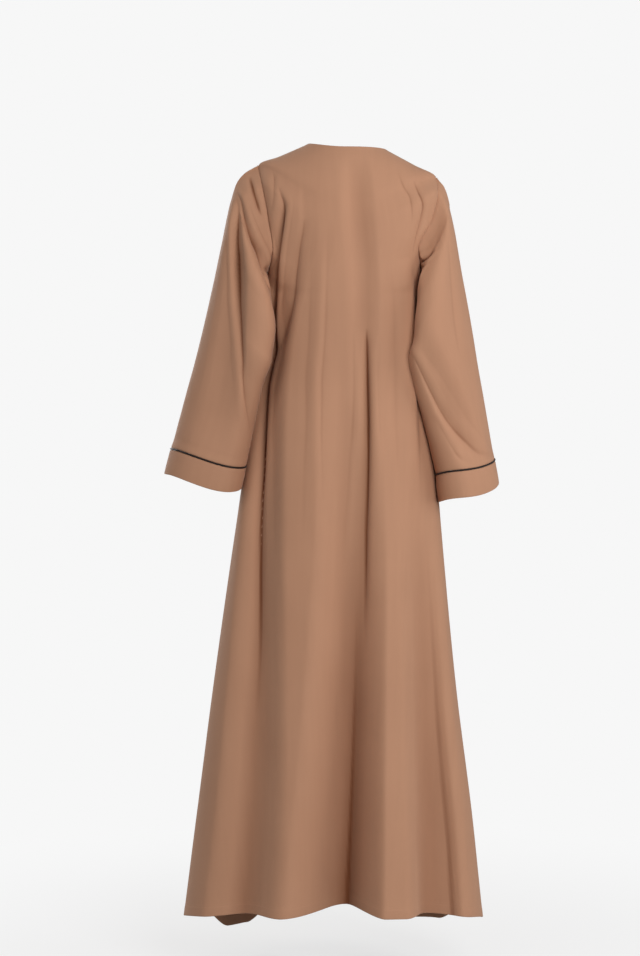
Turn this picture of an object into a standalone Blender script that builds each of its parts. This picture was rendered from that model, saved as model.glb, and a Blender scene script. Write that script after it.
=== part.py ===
"""An open-front abaya cloak, filled out as it is worn: back, two fronts that lap, two set-in bell sleeves,
two turned cuffs and a piping ring between each sleeve and its cuff. Metres.

Frame: +X is the wearer's left, -Y the wearer's front, +Z up. The origin is the middle of the neck opening, level
with the two points where the shoulder seams meet the neckline. Each piece is a cloth wall on a grid of rows. The
rows of the body run from the neckline down to the hem, and each row goes round the back or the front.
"""

import bpy
import numpy as np

# Cloth and seams
WALL = 0.002  # thickness of every cloth wall
SEAM_GAP = 0.0003  # between two pieces at a seam
PIPING_RADIUS = 0.0016
PIPING_PROUD = 0.0004  # how far the piping's centre lies outside the middle of the wall
PIPING_SIDES = 8

# The front closing: the right front laps over the left one
FRONT_LAP = 0.018  # how far each front runs past the centre line
UNDERLAP_DROP = WALL + 0.0012  # how far the left front lies under the right one
UNDERLAP_RUN = 0.060  # over which it comes back up to the body's surface

# Rows of the body's grid, counted down from the neckline
TIP_ROW = 4  # the shoulder tip, where the armhole starts
UNDERARM_ROW = 15  # where the armhole ends and the side seam starts
HEM_ROW = 33
BACK_COLUMNS = 36
FRONT_COLUMNS = 19
FINE_COLUMNS = 241  # a row is worked out this finely before its grid points are read off it

# Sleeves
SLEEVE_STATIONS = (0, 0.5, 1, 1.6, 2.3, 3.2, 4.2, 5.3, 6.5, 7.7, 9, 10.3, 11.6, 12.8, 14, 15)
CUFF_STATION = 16.5  # the station of the cuff's open edge in the sleeve table
CUFF_RINGS = 3
ROUND_STATION = 6  # the station by which a sleeve's ring has left the armhole's shape
BODY_CLEARANCE = 0.004  # between a hanging sleeve and the side of the body
CLEARANCE_STATION = 1.6  # the station by which a sleeve has reached that clearance
LAP_ANGLE = np.radians(45)  # where a sleeve laps furthest over the back, round its ring from the inner edge
LAP_ACROSS, LAP_BACK = 0.8, 0.6  # the direction of that lap
CLEARING_REACH = 0.045  # a sleeve point further than this beside the body's cloth is left alone
SHOULDER_ANGLE, SHOULDER_FADE = np.radians(117), 0.5  # beyond that angle a sleeve's ring rides over the shoulder
SHOULDER_PUSH = 0.002  # and is cleared of the body by no more than this

HEM_LIFT = 0.14  # how far the hem rises in a trough, as a share of the trough's depth
SEAM_CALM = 0.14  # the share of a half row, from its side edge, in which the body's folds fade out

LEVEL_COLUMNS = (
    "row", "left_x", "right_x", "centre_x", "left_y", "right_y", "left_turn", "right_turn", "left_z", "right_z",
    "centre_y", "centre_z", "side_bend", "side_round",
)
# One row for each level of the back. It is the part of an ellipse that its two turns sweep from the centre to its
# left and right ends, in degrees. side_bend is the power by which the row's height leaves the centre's for the
# side's, and side_round is 1 where the row arrives there level.
BACK_LEVELS = {
    "neckline":       (0.0, 0.074, 0.079, 0.000, 0.000, 0.000, 84, 84, 0.008, -0.004, 0.060, -0.007, 2.0, 0.7),
    "mid_shoulder":   (2.0, 0.130, 0.134, 0.000, 0.000, 0.000, 70, 70, -0.016, -0.033, 0.090, -0.062, 2.2, 0.85),
    "shoulder_tip":   (4.0, 0.172, 0.178, 0.000, 0.000, 0.000, 50, 50, -0.034, -0.058, 0.107, -0.110, 2.5, 1),
    "armhole_high":   (6.2, 0.163, 0.179, 0.000, 0.040, 0.036, 70, 72, -0.080, -0.094, 0.116, -0.154, 2.8, 1),
    "armhole_mid":    (8.7, 0.152, 0.168, 0.001, 0.057, 0.048, 62, 67, -0.138, -0.142, 0.122, -0.202, 3.2, 0.6),
    "armhole_low":    (11.4, 0.143, 0.140, 0.001, 0.063, 0.064, 60, 59, -0.204, -0.204, 0.125, -0.250, 3.6, 0.15),
    "armhole_turn":   (13.3, 0.150, 0.146, 0.001, 0.043, 0.045, 70, 69, -0.238, -0.238, 0.126, -0.282, 4.0, 0),
    "underarm":       (15.0, 0.156, 0.152, 0.002, 0.000, 0.000, 90, 90, -0.254, -0.254, 0.126, -0.306, 4.0, 0),
    "chest":          (16.4, 0.161, 0.155, 0.003, 0.000, 0.000, 90, 90, -0.324, -0.324, 0.124, -0.356, 3.6, 0),
    "waist":          (18.2, 0.172, 0.161, 0.006, 0.000, 0.000, 90, 90, -0.440, -0.440, 0.122, -0.454, 3.0, 0),
    "hip":            (20.8, 0.197, 0.176, 0.010, 0.000, 0.000, 90, 90, -0.620, -0.620, 0.138, -0.620, 2.5, 0),
    "thigh":          (23.4, 0.224, 0.191, 0.015, 0.000, 0.000, 90, 90, -0.800, -0.800, 0.153, -0.790, 2.0, 0),
    "knee":           (27.0, 0.259, 0.215, 0.021, 0.000, 0.000, 90, 90, -1.050, -1.050, 0.174, -1.030, 2.0, 0),
    "shin":           (30.5, 0.291, 0.246, 0.023, 0.000, 0.000, 90, 90, -1.300, -1.300, 0.194, -1.272, 2.0, 0),
    "hem":            (33.0, 0.3165, 0.267, 0.025, 0.000, 0.000, 90, 90, -1.500, -1.503, 0.210, -1.464, 2.0, 0),
}
FRONT_LEVELS = {
    "neckline":       (0.0, 0.074, 0.079, 0.000, 0.000, 0.000, 84, 84, 0.008, -0.004, -0.066, -0.090, 2.2, 0.7),
    "mid_shoulder":   (2.0, 0.130, 0.134, 0.000, 0.000, 0.000, 70, 70, -0.016, -0.033, -0.088, -0.120, 2.4, 0.85),
    "shoulder_tip":   (4.0, 0.172, 0.178, 0.000, 0.000, 0.000, 50, 50, -0.034, -0.058, -0.104, -0.150, 2.6, 1),
    "armhole_high":   (6.2, 0.156, 0.170, 0.000, -0.048, -0.048, 65, 65, -0.080, -0.094, -0.114, -0.182, 2.8, 1),
    "armhole_mid":    (8.7, 0.143, 0.153, 0.001, -0.068, -0.064, 57, 59, -0.138, -0.142, -0.124, -0.218, 3.2, 0.6),
    "armhole_low":    (11.4, 0.138, 0.137, 0.001, -0.074, -0.074, 56, 56, -0.204, -0.204, -0.132, -0.258, 3.6, 0.15),
    "armhole_turn":   (13.3, 0.147, 0.143, 0.001, -0.051, -0.055, 68, 66, -0.238, -0.238, -0.136, -0.288, 4.0, 0),
    "underarm":       (15.0, 0.156, 0.152, 0.002, 0.000, 0.000, 90, 90, -0.254, -0.254, -0.138, -0.312, 4.0, 0),
    "chest":          (16.4, 0.161, 0.155, 0.003, 0.000, 0.000, 90, 90, -0.324, -0.324, -0.138, -0.364, 3.6, 0),
    "waist":          (18.2, 0.172, 0.161, 0.006, 0.000, 0.000, 90, 90, -0.440, -0.440, -0.134, -0.466, 3.0, 0),
    "hip":            (20.8, 0.197, 0.176, 0.010, 0.000, 0.000, 90, 90, -0.620, -0.620, -0.141, -0.638, 2.5, 0),
    "thigh":          (23.4, 0.224, 0.191, 0.015, 0.000, 0.000, 90, 90, -0.800, -0.800, -0.153, -0.818, 2.0, 0),
    "knee":           (27.0, 0.259, 0.215, 0.021, 0.000, 0.000, 90, 90, -1.050, -1.050, -0.171, -1.068, 2.0, 0),
    "shin":           (30.5, 0.291, 0.246, 0.023, 0.000, 0.000, 90, 90, -1.300, -1.300, -0.188, -1.316, 2.0, 0),
    "hem":            (33.0, 0.3165, 0.267, 0.025, 0.000, 0.000, 90, 90, -1.500, -1.503, -0.202, -1.505, 2.0, 0),
}

FOLD_COLUMNS = ("down", "x", "depth", "left_run", "right_run")
# Each fold is a trough that runs down the cloth: how far down, where it is across, how deep it is, and how far it
# takes to come up again towards the wearer's left and right.
BACK_FOLDS = {
    "centre": (
        (0.06, -0.020, 0.000, 0.030, 0.030),
        (0.40, -0.001, 0.006, 0.050, 0.055),
        (0.69, -0.001, 0.022, 0.060, 0.074),
        (0.90, 0.002, 0.045, 0.070, 0.078),
        (1.10, 0.005, 0.070, 0.082, 0.076),
        (1.48, 0.011, 0.115, 0.108, 0.079),
    ),
    "left_side": (
        (0.15, 0.080, 0.000, 0.030, 0.040),
        (0.26, 0.112, 0.008, 0.028, 0.042),
        (0.34, 0.134, 0.012, 0.028, 0.044),
        (0.50, 0.158, 0.018, 0.030, 0.048),
        (0.70, 0.171, 0.023, 0.036, 0.058),
        (1.05, 0.184, 0.030, 0.048, 0.074),
        (1.30, 0.196, 0.036, 0.058, 0.084),
        (1.48, 0.214, 0.042, 0.062, 0.088),
    ),
    "right_side": (
        (0.62, -0.132, 0.000, 0.045, 0.035),
        (0.82, -0.146, 0.013, 0.052, 0.038),
        (1.05, -0.160, 0.025, 0.060, 0.044),
        (1.30, -0.173, 0.037, 0.066, 0.054),
        (1.48, -0.178, 0.046, 0.068, 0.060),
    ),
}
FRONT_FOLDS = {
    "left_panel": (
        (0.34, 0.080, 0.000, 0.040, 0.040),
        (0.62, 0.092, 0.008, 0.048, 0.048),
        (0.90, 0.106, 0.022, 0.060, 0.058),
        (1.20, 0.118, 0.036, 0.072, 0.068),
        (1.52, 0.128, 0.052, 0.084, 0.080),
    ),
    "right_panel": (
        (0.38, -0.070, 0.000, 0.040, 0.040),
        (0.66, -0.080, 0.007, 0.045, 0.045),
        (0.95, -0.092, 0.020, 0.058, 0.056),
        (1.25, -0.102, 0.034, 0.068, 0.066),
        (1.52, -0.110, 0.048, 0.076, 0.074),
    ),
    "left_side": (
        (0.90, 0.208, 0.000, 0.026, 0.040),
        (1.20, 0.228, 0.008, 0.032, 0.046),
        (1.50, 0.244, 0.017, 0.042, 0.054),
    ),
}

# Where the front hem dips, between its middle and its sides
DIP_COLUMNS = ("x", "drop", "run")
FRONT_DIPS = {"left": (0.224, 0.043, 0.066), "right": (-0.163, 0.030, 0.076)}
DIP_EDGE = 1.5  # how soon, coming in from its sides, a dip is at its full drop
DIP_ROW = 27  # the row below which the cloth comes down to them

SLEEVE_COLUMNS = (
    "station", "outer_x", "outer_y", "outer_z", "inner_x", "inner_y", "inner_z", "back", "front", "lap", "back_drop",
    "drop_angle",
)
# Sections of each sleeve, seen flat: the outer and the inner edge, how far the cloth bellies out behind and in
# front of the line between them, how far the inner back part laps round over the back of the body, and how far and
# where, in degrees round from the inner edge over the back, the cloth behind the arm hangs below that line.
LEFT_SLEEVE = {
    "armhole":       (0, 0.172, 0.000, -0.034, 0.156, 0.000, -0.254, 0.072, 0.072, 0.000, 0.0, 62),
    "cap":           (1, 0.198, 0.002, -0.050, 0.160, 0.002, -0.278, 0.075, 0.074, 0.002, 0.0, 62),
    "shoulder":      (2, 0.213, 0.003, -0.069, 0.162, 0.008, -0.299, 0.077, 0.075, 0.010, 0.0, 62),
    "below_cap":     (3, 0.221, 0.004, -0.093, 0.160, 0.018, -0.318, 0.077, 0.076, 0.018, 0.0, 62),
    "upper_arm":     (5, 0.235, 0.005, -0.155, 0.150, 0.046, -0.348, 0.072, 0.078, 0.020, 0.0, 62),
    "mid_arm":       (7, 0.252, 0.006, -0.238, 0.143, 0.072, -0.380, 0.066, 0.080, 0.008, 0.0, 62),
    "above_elbow":   (9, 0.272, 0.006, -0.326, 0.145, 0.080, -0.418, 0.062, 0.080, 0.000, 0.0, 62),
    "elbow":         (11, 0.296, 0.003, -0.420, 0.162, 0.064, -0.468, 0.062, 0.078, 0.000, 0.0, 62),
    "forearm":       (13, 0.320, -0.004, -0.505, 0.177, 0.042, -0.545, 0.064, 0.076, 0.000, 0.004, 62),
    "cuff_seam":     (15, 0.343, -0.010, -0.586, 0.193, 0.036, -0.619, 0.067, 0.074, 0.000, 0.0105, 62),
    "cuff_edge":     (16.5, 0.357, -0.013, -0.636, 0.202, 0.033, -0.661, 0.068, 0.073, 0.000, 0.016, 62),
}
RIGHT_SLEEVE = {
    "armhole":       (0, 0.178, 0.000, -0.058, 0.152, 0.000, -0.254, 0.070, 0.070, 0.000, 0.0, 123),
    "cap":           (1, 0.189, 0.002, -0.076, 0.156, 0.002, -0.278, 0.074, 0.074, 0.002, 0.0, 123),
    "shoulder":      (2, 0.196, 0.003, -0.094, 0.158, 0.008, -0.299, 0.077, 0.077, 0.010, 0.0, 123),
    "below_cap":     (3, 0.200, 0.004, -0.110, 0.157, 0.013, -0.318, 0.078, 0.078, 0.024, 0.0, 123),
    "upper_arm":     (5, 0.210, 0.005, -0.155, 0.149, 0.034, -0.348, 0.075, 0.080, 0.027, 0.0, 123),
    "mid_arm":       (7, 0.223, 0.006, -0.232, 0.133, 0.072, -0.382, 0.071, 0.084, 0.010, 0.0, 123),
    "above_elbow":   (9, 0.241, 0.006, -0.330, 0.119, 0.090, -0.418, 0.069, 0.086, 0.000, 0.0, 123),
    "elbow":         (11, 0.257, 0.003, -0.425, 0.128, 0.078, -0.465, 0.072, 0.086, 0.000, 0.0, 123),
    "forearm":       (13, 0.274, -0.004, -0.513, 0.150, 0.050, -0.546, 0.076, 0.086, 0.000, 0.004, 123),
    "cuff_seam":     (15, 0.2915, -0.010, -0.603, 0.172, 0.038, -0.637, 0.080, 0.086, 0.000, 0.0105, 123),
    "cuff_edge":     (16.5, 0.301, -0.013, -0.648, 0.178, 0.036, -0.691, 0.081, 0.086, 0.000, 0.0155, 123),
}
SLEEVE_FOLD_COLUMNS = ("station", "angle", "depth", "run")
# Troughs in the sleeves. angle goes round from the inner edge over the back, in degrees, and run is how many
# degrees the trough takes to come up again.
LEFT_SLEEVE_FOLDS = {
    "drape": ((3, 128, 0.000, 30), (6, 122, 0.012, 34), (9, 108, 0.012, 36), (12, 92, 0.009, 38), (15, 84, 0.004, 40)),
    "front": ((4, 246, 0.000, 30), (8, 250, 0.010, 36), (12, 262, 0.012, 40), (15, 270, 0.006, 44)),
}
RIGHT_SLEEVE_FOLDS = {
    "drape": ((7, 40, 0.000, 30), (10, 62, 0.010, 34), (12.5, 84, 0.012, 36), (15, 112, 0.004, 40)),
    "front": ((4, 240, 0.000, 30), (8, 246, 0.010, 36), (12, 256, 0.012, 40), (15, 268, 0.006, 44)),
}

CREPE = {"name": "tan_crepe", "colour": (0.47, 0.25, 0.16, 1.0), "roughness": 0.78}
PIPING = {"name": "dark_piping", "colour": (0.012, 0.008, 0.007, 1.0), "roughness": 0.6}


def columns_of(table, names):
    """The rows of a table as one array for each named column."""
    rows = list(table.values()) if isinstance(table, dict) else table
    return dict(zip(names, np.array(rows, float).T))


def smooth(keys, values, at):
    """The table's values at the places `at`, on a cubic through every key that never leaves the range of the two
    keys beside it, and flat past the ends."""
    at = np.clip(at, keys[0], keys[-1])
    rises = np.diff(values) / np.diff(keys)
    before, after = rises[:-1], rises[1:]
    steady = before * after > 0
    inner = np.where(steady, 2 * before * after / np.where(steady, before + after, 1), 0)
    slopes = np.concatenate([rises[:1], inner, rises[-1:]])
    i = np.clip(np.searchsorted(keys, at, side="right") - 1, 0, len(keys) - 2)
    span = keys[i + 1] - keys[i]
    t = (at - keys[i]) / span
    return (
        values[i] * (1 + 2 * t) * (1 - t) ** 2
        + values[i + 1] * t**2 * (3 - 2 * t)
        + span * (slopes[i] * t * (1 - t) ** 2 - slopes[i + 1] * t**2 * (1 - t))
    )


def smoothstep(value):
    """0 below 0, 1 above 1, and a soft step between."""
    value = np.clip(value, 0, 1)
    return value * value * (3 - 2 * value)


def unit(vectors):
    """The vectors at length 1."""
    return vectors / np.maximum(np.linalg.norm(vectors, axis=-1, keepdims=True), 1e-12)


def trough(offset, run):
    """How deep a trough is at a distance from its middle, from 1 there to 0 at its run."""
    return (1 - np.clip(np.abs(offset) / run, 0, 1) ** 2) ** 2


def grid_normals(grid, closed=False):
    """Unit normals of a grid of points [row][column], along row x column."""
    if closed:
        wide = np.concatenate([grid[:, -1:], grid, grid[:, :1]], axis=1)
        along = (wide[:, 2:] - wide[:, :-2]) / 2
    else:
        along = np.gradient(grid, axis=1)
    return unit(np.cross(np.gradient(grid, axis=0), along))


def body_surface(levels, rows):
    """Outer surface of the back or the front without its folds, [row][fine column] from the wearer's right side to
    the left side, its outward normals, and each column's share of the way from the centre to the side."""
    table = columns_of(levels, LEVEL_COLUMNS)
    at = {name: smooth(table["row"], table[name], rows)[:, None] for name in LEVEL_COLUMNS[1:]}
    share = np.linspace(-1, 1, FINE_COLUMNS)[None, :]
    left = share > 0
    turn = np.radians(np.where(left, at["left_turn"], at["right_turn"]))
    angle = turn * np.abs(share)
    reach = np.where(left, at["left_x"] - at["centre_x"], at["right_x"] + at["centre_x"])
    side_y = np.where(left, at["left_y"], at["right_y"])
    side_z = np.where(left, at["left_z"], at["right_z"])
    bend = at["side_bend"]
    side_share = np.abs(share) ** bend * (1 + at["side_round"] * bend * (1 - np.abs(share)))
    grid = np.stack(
        [
            at["centre_x"] + np.sign(share) * reach * np.sin(angle) / np.sin(turn),
            side_y + (at["centre_y"] - side_y) * (np.cos(angle) - np.cos(turn)) / (1 - np.cos(turn)),
            at["centre_z"] + (side_z - at["centre_z"]) * side_share,
        ],
        axis=2,
    )
    return grid, outward(grid_normals(grid), grid), np.abs(share)


def dipped(grid, centre_share, rows):
    """A front surface with its hem let down at its dips, its outward normals and the share of each column."""
    dips = columns_of(FRONT_DIPS, DIP_COLUMNS)
    offset = grid[..., :1] - dips["x"]
    drop = (dips["drop"] * smoothstep(DIP_EDGE * (1 - np.abs(offset) / dips["run"]))).sum(axis=-1)
    grid[..., 2] -= drop * smoothstep((rows - DIP_ROW) / (HEM_ROW - DIP_ROW))[:, None]
    return grid, outward(grid_normals(grid), grid), centre_share


def folded(grid, normals, centre_share, folds):
    """A body surface with its folds pressed in, and its outward normals."""
    depth = sum(fold_depth(np.array(fold), grid) for fold in folds.values())
    depth = (depth * smoothstep((1 - centre_share) / SEAM_CALM))[..., None]
    grid = grid - depth * normals
    grid[..., 2:] += HEM_LIFT * depth
    return grid, outward(grid_normals(grid), grid)


def outward(normals, grid):
    """The normals, turned to point away from the body's axis."""
    away = (normals[..., :2] * grid[..., :2]).sum(axis=-1, keepdims=True)
    return normals * np.where(away.mean() < 0, -1, 1)


def fold_depth(fold, grid):
    """Depth of one fold of the body at each point of a grid."""
    key = columns_of(fold, FOLD_COLUMNS)
    down = -grid[..., 2]
    at = {name: smooth(key["down"], key[name], down) for name in FOLD_COLUMNS[1:]}
    offset = grid[..., 0] - at["x"]
    return np.maximum(at["depth"], 0) * trough(offset, np.where(offset > 0, at["left_run"], at["right_run"]))


def along_row(line, values, start, stop, count):
    """`count` evenly spaced samples of the values along one row's line, from start to stop metres along it."""
    steps = np.linalg.norm(np.diff(line, axis=0), axis=1)
    run = np.concatenate([[0], np.cumsum(steps)])
    at = np.linspace(start, run[-1] + stop, count)
    return np.stack([np.interp(at, run, values[:, k]) for k in range(3)], axis=1)


def panel_grid(surface, normals, cut_right=None, cut_left=None, columns=BACK_COLUMNS):
    """Grid points and normals of a panel cut from a surface, half a seam gap inside its two side edges. A cut
    gives the run of each row at which the panel stops instead, from its right or left end."""
    points, turned = [], []
    for k, line in enumerate(surface):
        start = SEAM_GAP / 2 if cut_right is None else cut_right[k]
        stop = -SEAM_GAP / 2 if cut_left is None else -cut_left[k]
        points.append(along_row(line, line, start, stop, columns + 1))
        turned.append(unit(along_row(line, normals[k], start, stop, columns + 1)))
    return np.array(points), np.array(turned)


def run_to_x(surface, x_of_row, from_left):
    """How far along each row, from its right or left end, the row reaches a given x."""
    runs = []
    for line, x in zip(surface, x_of_row):
        steps = np.linalg.norm(np.diff(line, axis=0), axis=1)
        run = np.concatenate([[0], np.cumsum(steps)])
        at = np.interp(x, line[:, 0], run)
        runs.append(run[-1] - at if from_left else at)
    return runs


def share_seam_normals(one, other, column):
    """Gives two panels one normal along the shoulder and side seam that they share at a side column, so that their
    edge faces are parallel there. A panel is its points and its normals."""
    seam_rows = np.r_[0 : TIP_ROW + 1, UNDERARM_ROW : HEM_ROW + 1]
    shared = unit(one[1][seam_rows, column] + other[1][seam_rows, column])
    one[1][seam_rows, column] = shared
    other[1][seam_rows, column] = shared


def armhole_ring(back, front, column):
    """The armhole's edge as a ring from the underarm over the back to the shoulder tip and down the front, the
    panels' normals on it, and the directions that lead off the cloth into the opening."""
    up = slice(UNDERARM_ROW - 1, TIP_ROW, -1)
    down = slice(TIP_ROW + 1, UNDERARM_ROW)
    ring, normals = (
        np.concatenate([
            (one[[UNDERARM_ROW], column] + other[[UNDERARM_ROW], column]) / 2,
            one[up, column],
            (one[[TIP_ROW], column] + other[[TIP_ROW], column]) / 2,
            other[down, column],
        ])
        for one, other in zip(back, front)
    )
    tangent = unit(np.roll(ring, -1, axis=0) - np.roll(ring, 1, axis=0))
    lead = unit(np.cross(tangent, normals))
    middle = ring.mean(axis=0)
    inwards = ((middle - ring) * lead).sum(axis=1).mean()
    return ring, normals, lead * np.sign(inwards)


def clear_of_body(points, clearance, most, body):
    """The points, moved out where they are nearer to the body's surface than a clearance, by no more than the
    most that each ring point may move."""
    places = np.concatenate([surface[0].reshape(-1, 3) for surface in body])
    outwards = np.concatenate([surface[1].reshape(-1, 3) for surface in body])
    cleared = points.copy()
    for k, ring in enumerate(points):
        nearest = ((ring[:, None] - places[None]) ** 2).sum(axis=2).argmin(axis=1)
        offset = ring - places[nearest]
        height = (offset * outwards[nearest]).sum(axis=1)
        beside = np.linalg.norm(offset - height[:, None] * outwards[nearest], axis=1)
        push = np.where(beside < CLEARING_REACH, np.maximum(clearance[k] - height, 0), 0)
        cleared[k] += np.minimum(push, most)[:, None] * outwards[nearest]
    return cleared


def sleeve_surface(sections, folds, hand, armhole, stations, body):
    """Outer surface of a sleeve, [station][ring point] from the armhole down. A ring leaves the line between the
    sleeve's inner and outer edges by the armhole's own shape at first, and by half-ellipses further down."""
    table = columns_of(sections, SLEEVE_COLUMNS)
    stations = np.array(stations, float)
    at = {name: smooth(table["station"], table[name], stations)[:, None] for name in SLEEVE_COLUMNS[1:]}
    angle = 2 * np.pi * np.arange(len(armhole)) / len(armhole)
    to_outer = ((1 - np.cos(angle)) / 2)[None, :, None]
    inner = np.stack([hand * at["inner_x"], at["inner_y"], at["inner_z"]], axis=2)
    outer = np.stack([hand * at["outer_x"], at["outer_y"], at["outer_z"]], axis=2)
    spine = inner + (outer - inner) * to_outer
    belly = np.sin(angle)[None, :] * np.where(angle < np.pi, at["back"], at["front"])
    behind = np.clip(np.cos(angle - np.radians(at["drop_angle"])), 0, 1) ** 2
    round_ring = np.stack([0 * belly, belly, -at["back_drop"] * behind], axis=2)
    lap = at["lap"] * np.clip(np.cos(angle - LAP_ANGLE), 0, 1) ** 2
    own_shape = armhole[None] - (armhole[0] + (armhole[len(armhole) // 2] - armhole[0]) * to_outer)
    rounded = smoothstep(stations / ROUND_STATION)[:, None, None]
    grid = spine + (1 - rounded) * own_shape + rounded * round_ring
    grid += lap[..., None] * np.array([-hand * LAP_ACROSS, LAP_BACK, 0])
    grid -= sleeve_fold_depth(folds, stations, angle)[..., None] * sleeve_normals(grid, hand)
    clearance = SEAM_GAP + (BODY_CLEARANCE - SEAM_GAP) * np.clip(stations / CLEARANCE_STATION, 0, 1)
    beside_body = smoothstep((np.cos(angle) - np.cos(SHOULDER_ANGLE)) / SHOULDER_FADE)
    grid[1:] = clear_of_body(grid[1:], clearance[1:], SHOULDER_PUSH + beside_body, body)
    return grid


def sleeve_fold_depth(folds, stations, angle):
    """Depth of a sleeve's folds at each station and ring point."""
    depth = np.zeros((len(stations), len(angle)))
    for fold in folds.values():
        key = columns_of(fold, SLEEVE_FOLD_COLUMNS)
        at = {name: smooth(key["station"], key[name], stations)[:, None] for name in SLEEVE_FOLD_COLUMNS[1:]}
        inside = (stations >= key["station"][0])[:, None]
        depth += inside * np.maximum(at["depth"], 0) * trough(np.degrees(angle)[None, :] - at["angle"], at["run"])
    return depth


def sleeve_normals(grid, hand):
    """Normals of a sleeve's rings, pointing out of the sleeve."""
    return grid_normals(grid, closed=True) * -hand


def wall(name, outer, inner, material, closed=False):
    """A closed cloth wall between an outer and an inner grid of the same size, its edges joined by rims. A
    closed grid goes on from its last column to its first."""
    rows, columns = outer.shape[:2]
    points = np.concatenate([outer.reshape(-1, 3), inner.reshape(-1, 3)])
    index = np.arange(rows * columns).reshape(rows, columns)
    if closed:
        index = np.concatenate([index, index[:, :1]], axis=1)
    under = index + rows * columns
    faces = np.stack([index[:-1, :-1], index[1:, :-1], index[1:, 1:], index[:-1, 1:]], axis=-1).reshape(-1, 4)
    lining = np.stack([under[:-1, :-1], under[:-1, 1:], under[1:, 1:], under[1:, :-1]], axis=-1).reshape(-1, 4)
    rims = [rim(index[0], under[0]), rim(under[-1], index[-1])]
    if not closed:
        rims += [rim(under[:, 0], index[:, 0]), rim(index[:, -1], under[:, -1])]
    return solid(name, points, np.concatenate([faces, lining, *rims]), material)


def rim(edge, other):
    """Faces between two edges of the same number of points."""
    return np.stack([edge[:-1], edge[1:], other[1:], other[:-1]], axis=-1)


def solid(name, points, faces, material):
    """A mesh object in the garment's collection, its faces pointing out."""
    mesh = bpy.data.meshes.new(name)
    mesh.from_pydata(points.tolist(), [], faces.tolist())
    mesh.validate()
    if signed_volume(mesh) < 0:
        mesh.flip_normals()
    mesh.shade_smooth()
    mesh.materials.append(material)
    piece = bpy.data.objects.new(name, mesh)
    bpy.data.collections["abaya"].objects.link(piece)
    return piece


def signed_volume(mesh):
    """The volume that a mesh encloses, below 0 if its faces point in."""
    mesh.calc_loop_triangles()
    corners = np.array([[mesh.vertices[v].co for v in face.vertices] for face in mesh.loop_triangles])
    return np.linalg.det(corners).sum() / 6


def cloth_material(name, colour, roughness):
    """A plain cloth material."""
    material = bpy.data.materials.new(name)
    material.use_nodes = True
    shader = material.node_tree.nodes["Principled BSDF"]
    shader.inputs["Base Color"].default_value = colour
    shader.inputs["Roughness"].default_value = roughness
    shader.inputs["Metallic"].default_value = 0.0
    return material


def make_body(crepe):
    """The back and the two fronts. Returns the body's two surfaces and the three panels, for the sleeves."""
    rows = np.arange(HEM_ROW + 1, dtype=float)
    back_form = body_surface(BACK_LEVELS, rows)
    front_plain = body_surface(FRONT_LEVELS, rows)
    front_form = dipped(front_plain[0], front_plain[2], rows)
    back_surface = folded(*back_form, BACK_FOLDS)
    front_surface = folded(*front_form, FRONT_FOLDS)
    table = columns_of(FRONT_LEVELS, LEVEL_COLUMNS)
    centre = smooth(table["row"], table["centre_x"], rows)
    lap_left = run_to_x(front_surface[0], centre - FRONT_LAP, from_left=False)
    lap_right = run_to_x(front_surface[0], centre + FRONT_LAP, from_left=True)
    back = panel_grid(*back_surface)
    left = panel_grid(*front_surface, cut_right=lap_left, columns=FRONT_COLUMNS)
    right = panel_grid(*front_surface, cut_left=lap_right, columns=FRONT_COLUMNS)
    share_seam_normals(back, left, -1)
    share_seam_normals(back, right, 0)
    past_lap = left[0][..., 0] - centre[:, None] - FRONT_LAP
    drop = UNDERLAP_DROP * (1 - smoothstep(past_lap / UNDERLAP_RUN))
    left = (left[0] - drop[..., None] * left[1], left[1])
    for name, (points, normals) in {"back": back, "front_left": left, "front_right": right}.items():
        wall(name, points, points - WALL * normals, crepe)
    return (back_form, front_form), back, left, right


def make_sleeve(side, sections, folds, body, back, front, crepe, dark):
    """One sleeve, its piping and its cuff."""
    hand, column = (1, -1) if side == "left" else (-1, 0)
    edge, body_normals, lead = armhole_ring(back, front, column)
    start = edge + SEAM_GAP * (lead + body_normals)
    grid = sleeve_surface(sections, folds, hand, start, (*SLEEVE_STATIONS, CUFF_STATION), body)
    normals = sleeve_normals(grid, hand)
    # At the armhole the wall's thickness stays on the opening's side of the body's edge.
    over_body = np.maximum((normals[0] * lead).sum(axis=1, keepdims=True), 0)
    normals[0] = unit(normals[0] - over_body * lead)
    wall(f"sleeve_{side}", grid[:-1], grid[:-1] - WALL * normals[:-1], crepe, closed=True)

    seam, seam_normals = grid[-2], normals[-2]
    downwards = unit(grid[-1] - seam)
    piping_step = PIPING_RADIUS + SEAM_GAP
    centre = seam + piping_step * downwards - (WALL / 2 - PIPING_PROUD) * seam_normals
    round_it = 2 * np.pi * np.arange(PIPING_SIDES) / PIPING_SIDES
    tube = centre[None] + PIPING_RADIUS * (
        np.cos(round_it)[:, None, None] * downwards[None] + np.sin(round_it)[:, None, None] * seam_normals[None]
    )
    ring_tube(f"piping_{side}", tube, dark)

    shares = np.linspace(0, 1, CUFF_RINGS)[:, None, None]
    top = seam + 2 * piping_step * downwards
    cuff = top + (grid[-1] - top) * shares
    cuff_normals = unit(normals[-2] + (normals[-1] - normals[-2]) * shares)
    wall(f"cuff_{side}", cuff, cuff - WALL * cuff_normals, crepe, closed=True)


def ring_tube(name, tube, material):
    """A closed ring of round section from its grid [round the section][along the ring]."""
    sides, length = tube.shape[:2]
    index = np.arange(sides * length).reshape(sides, length)
    index = np.concatenate([index, index[:1]], axis=0)
    index = np.concatenate([index, index[:, :1]], axis=1)
    faces = np.stack([index[:-1, :-1], index[1:, :-1], index[1:, 1:], index[:-1, 1:]], axis=-1).reshape(-1, 4)
    return solid(name, tube.reshape(-1, 3), faces, material)


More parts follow.
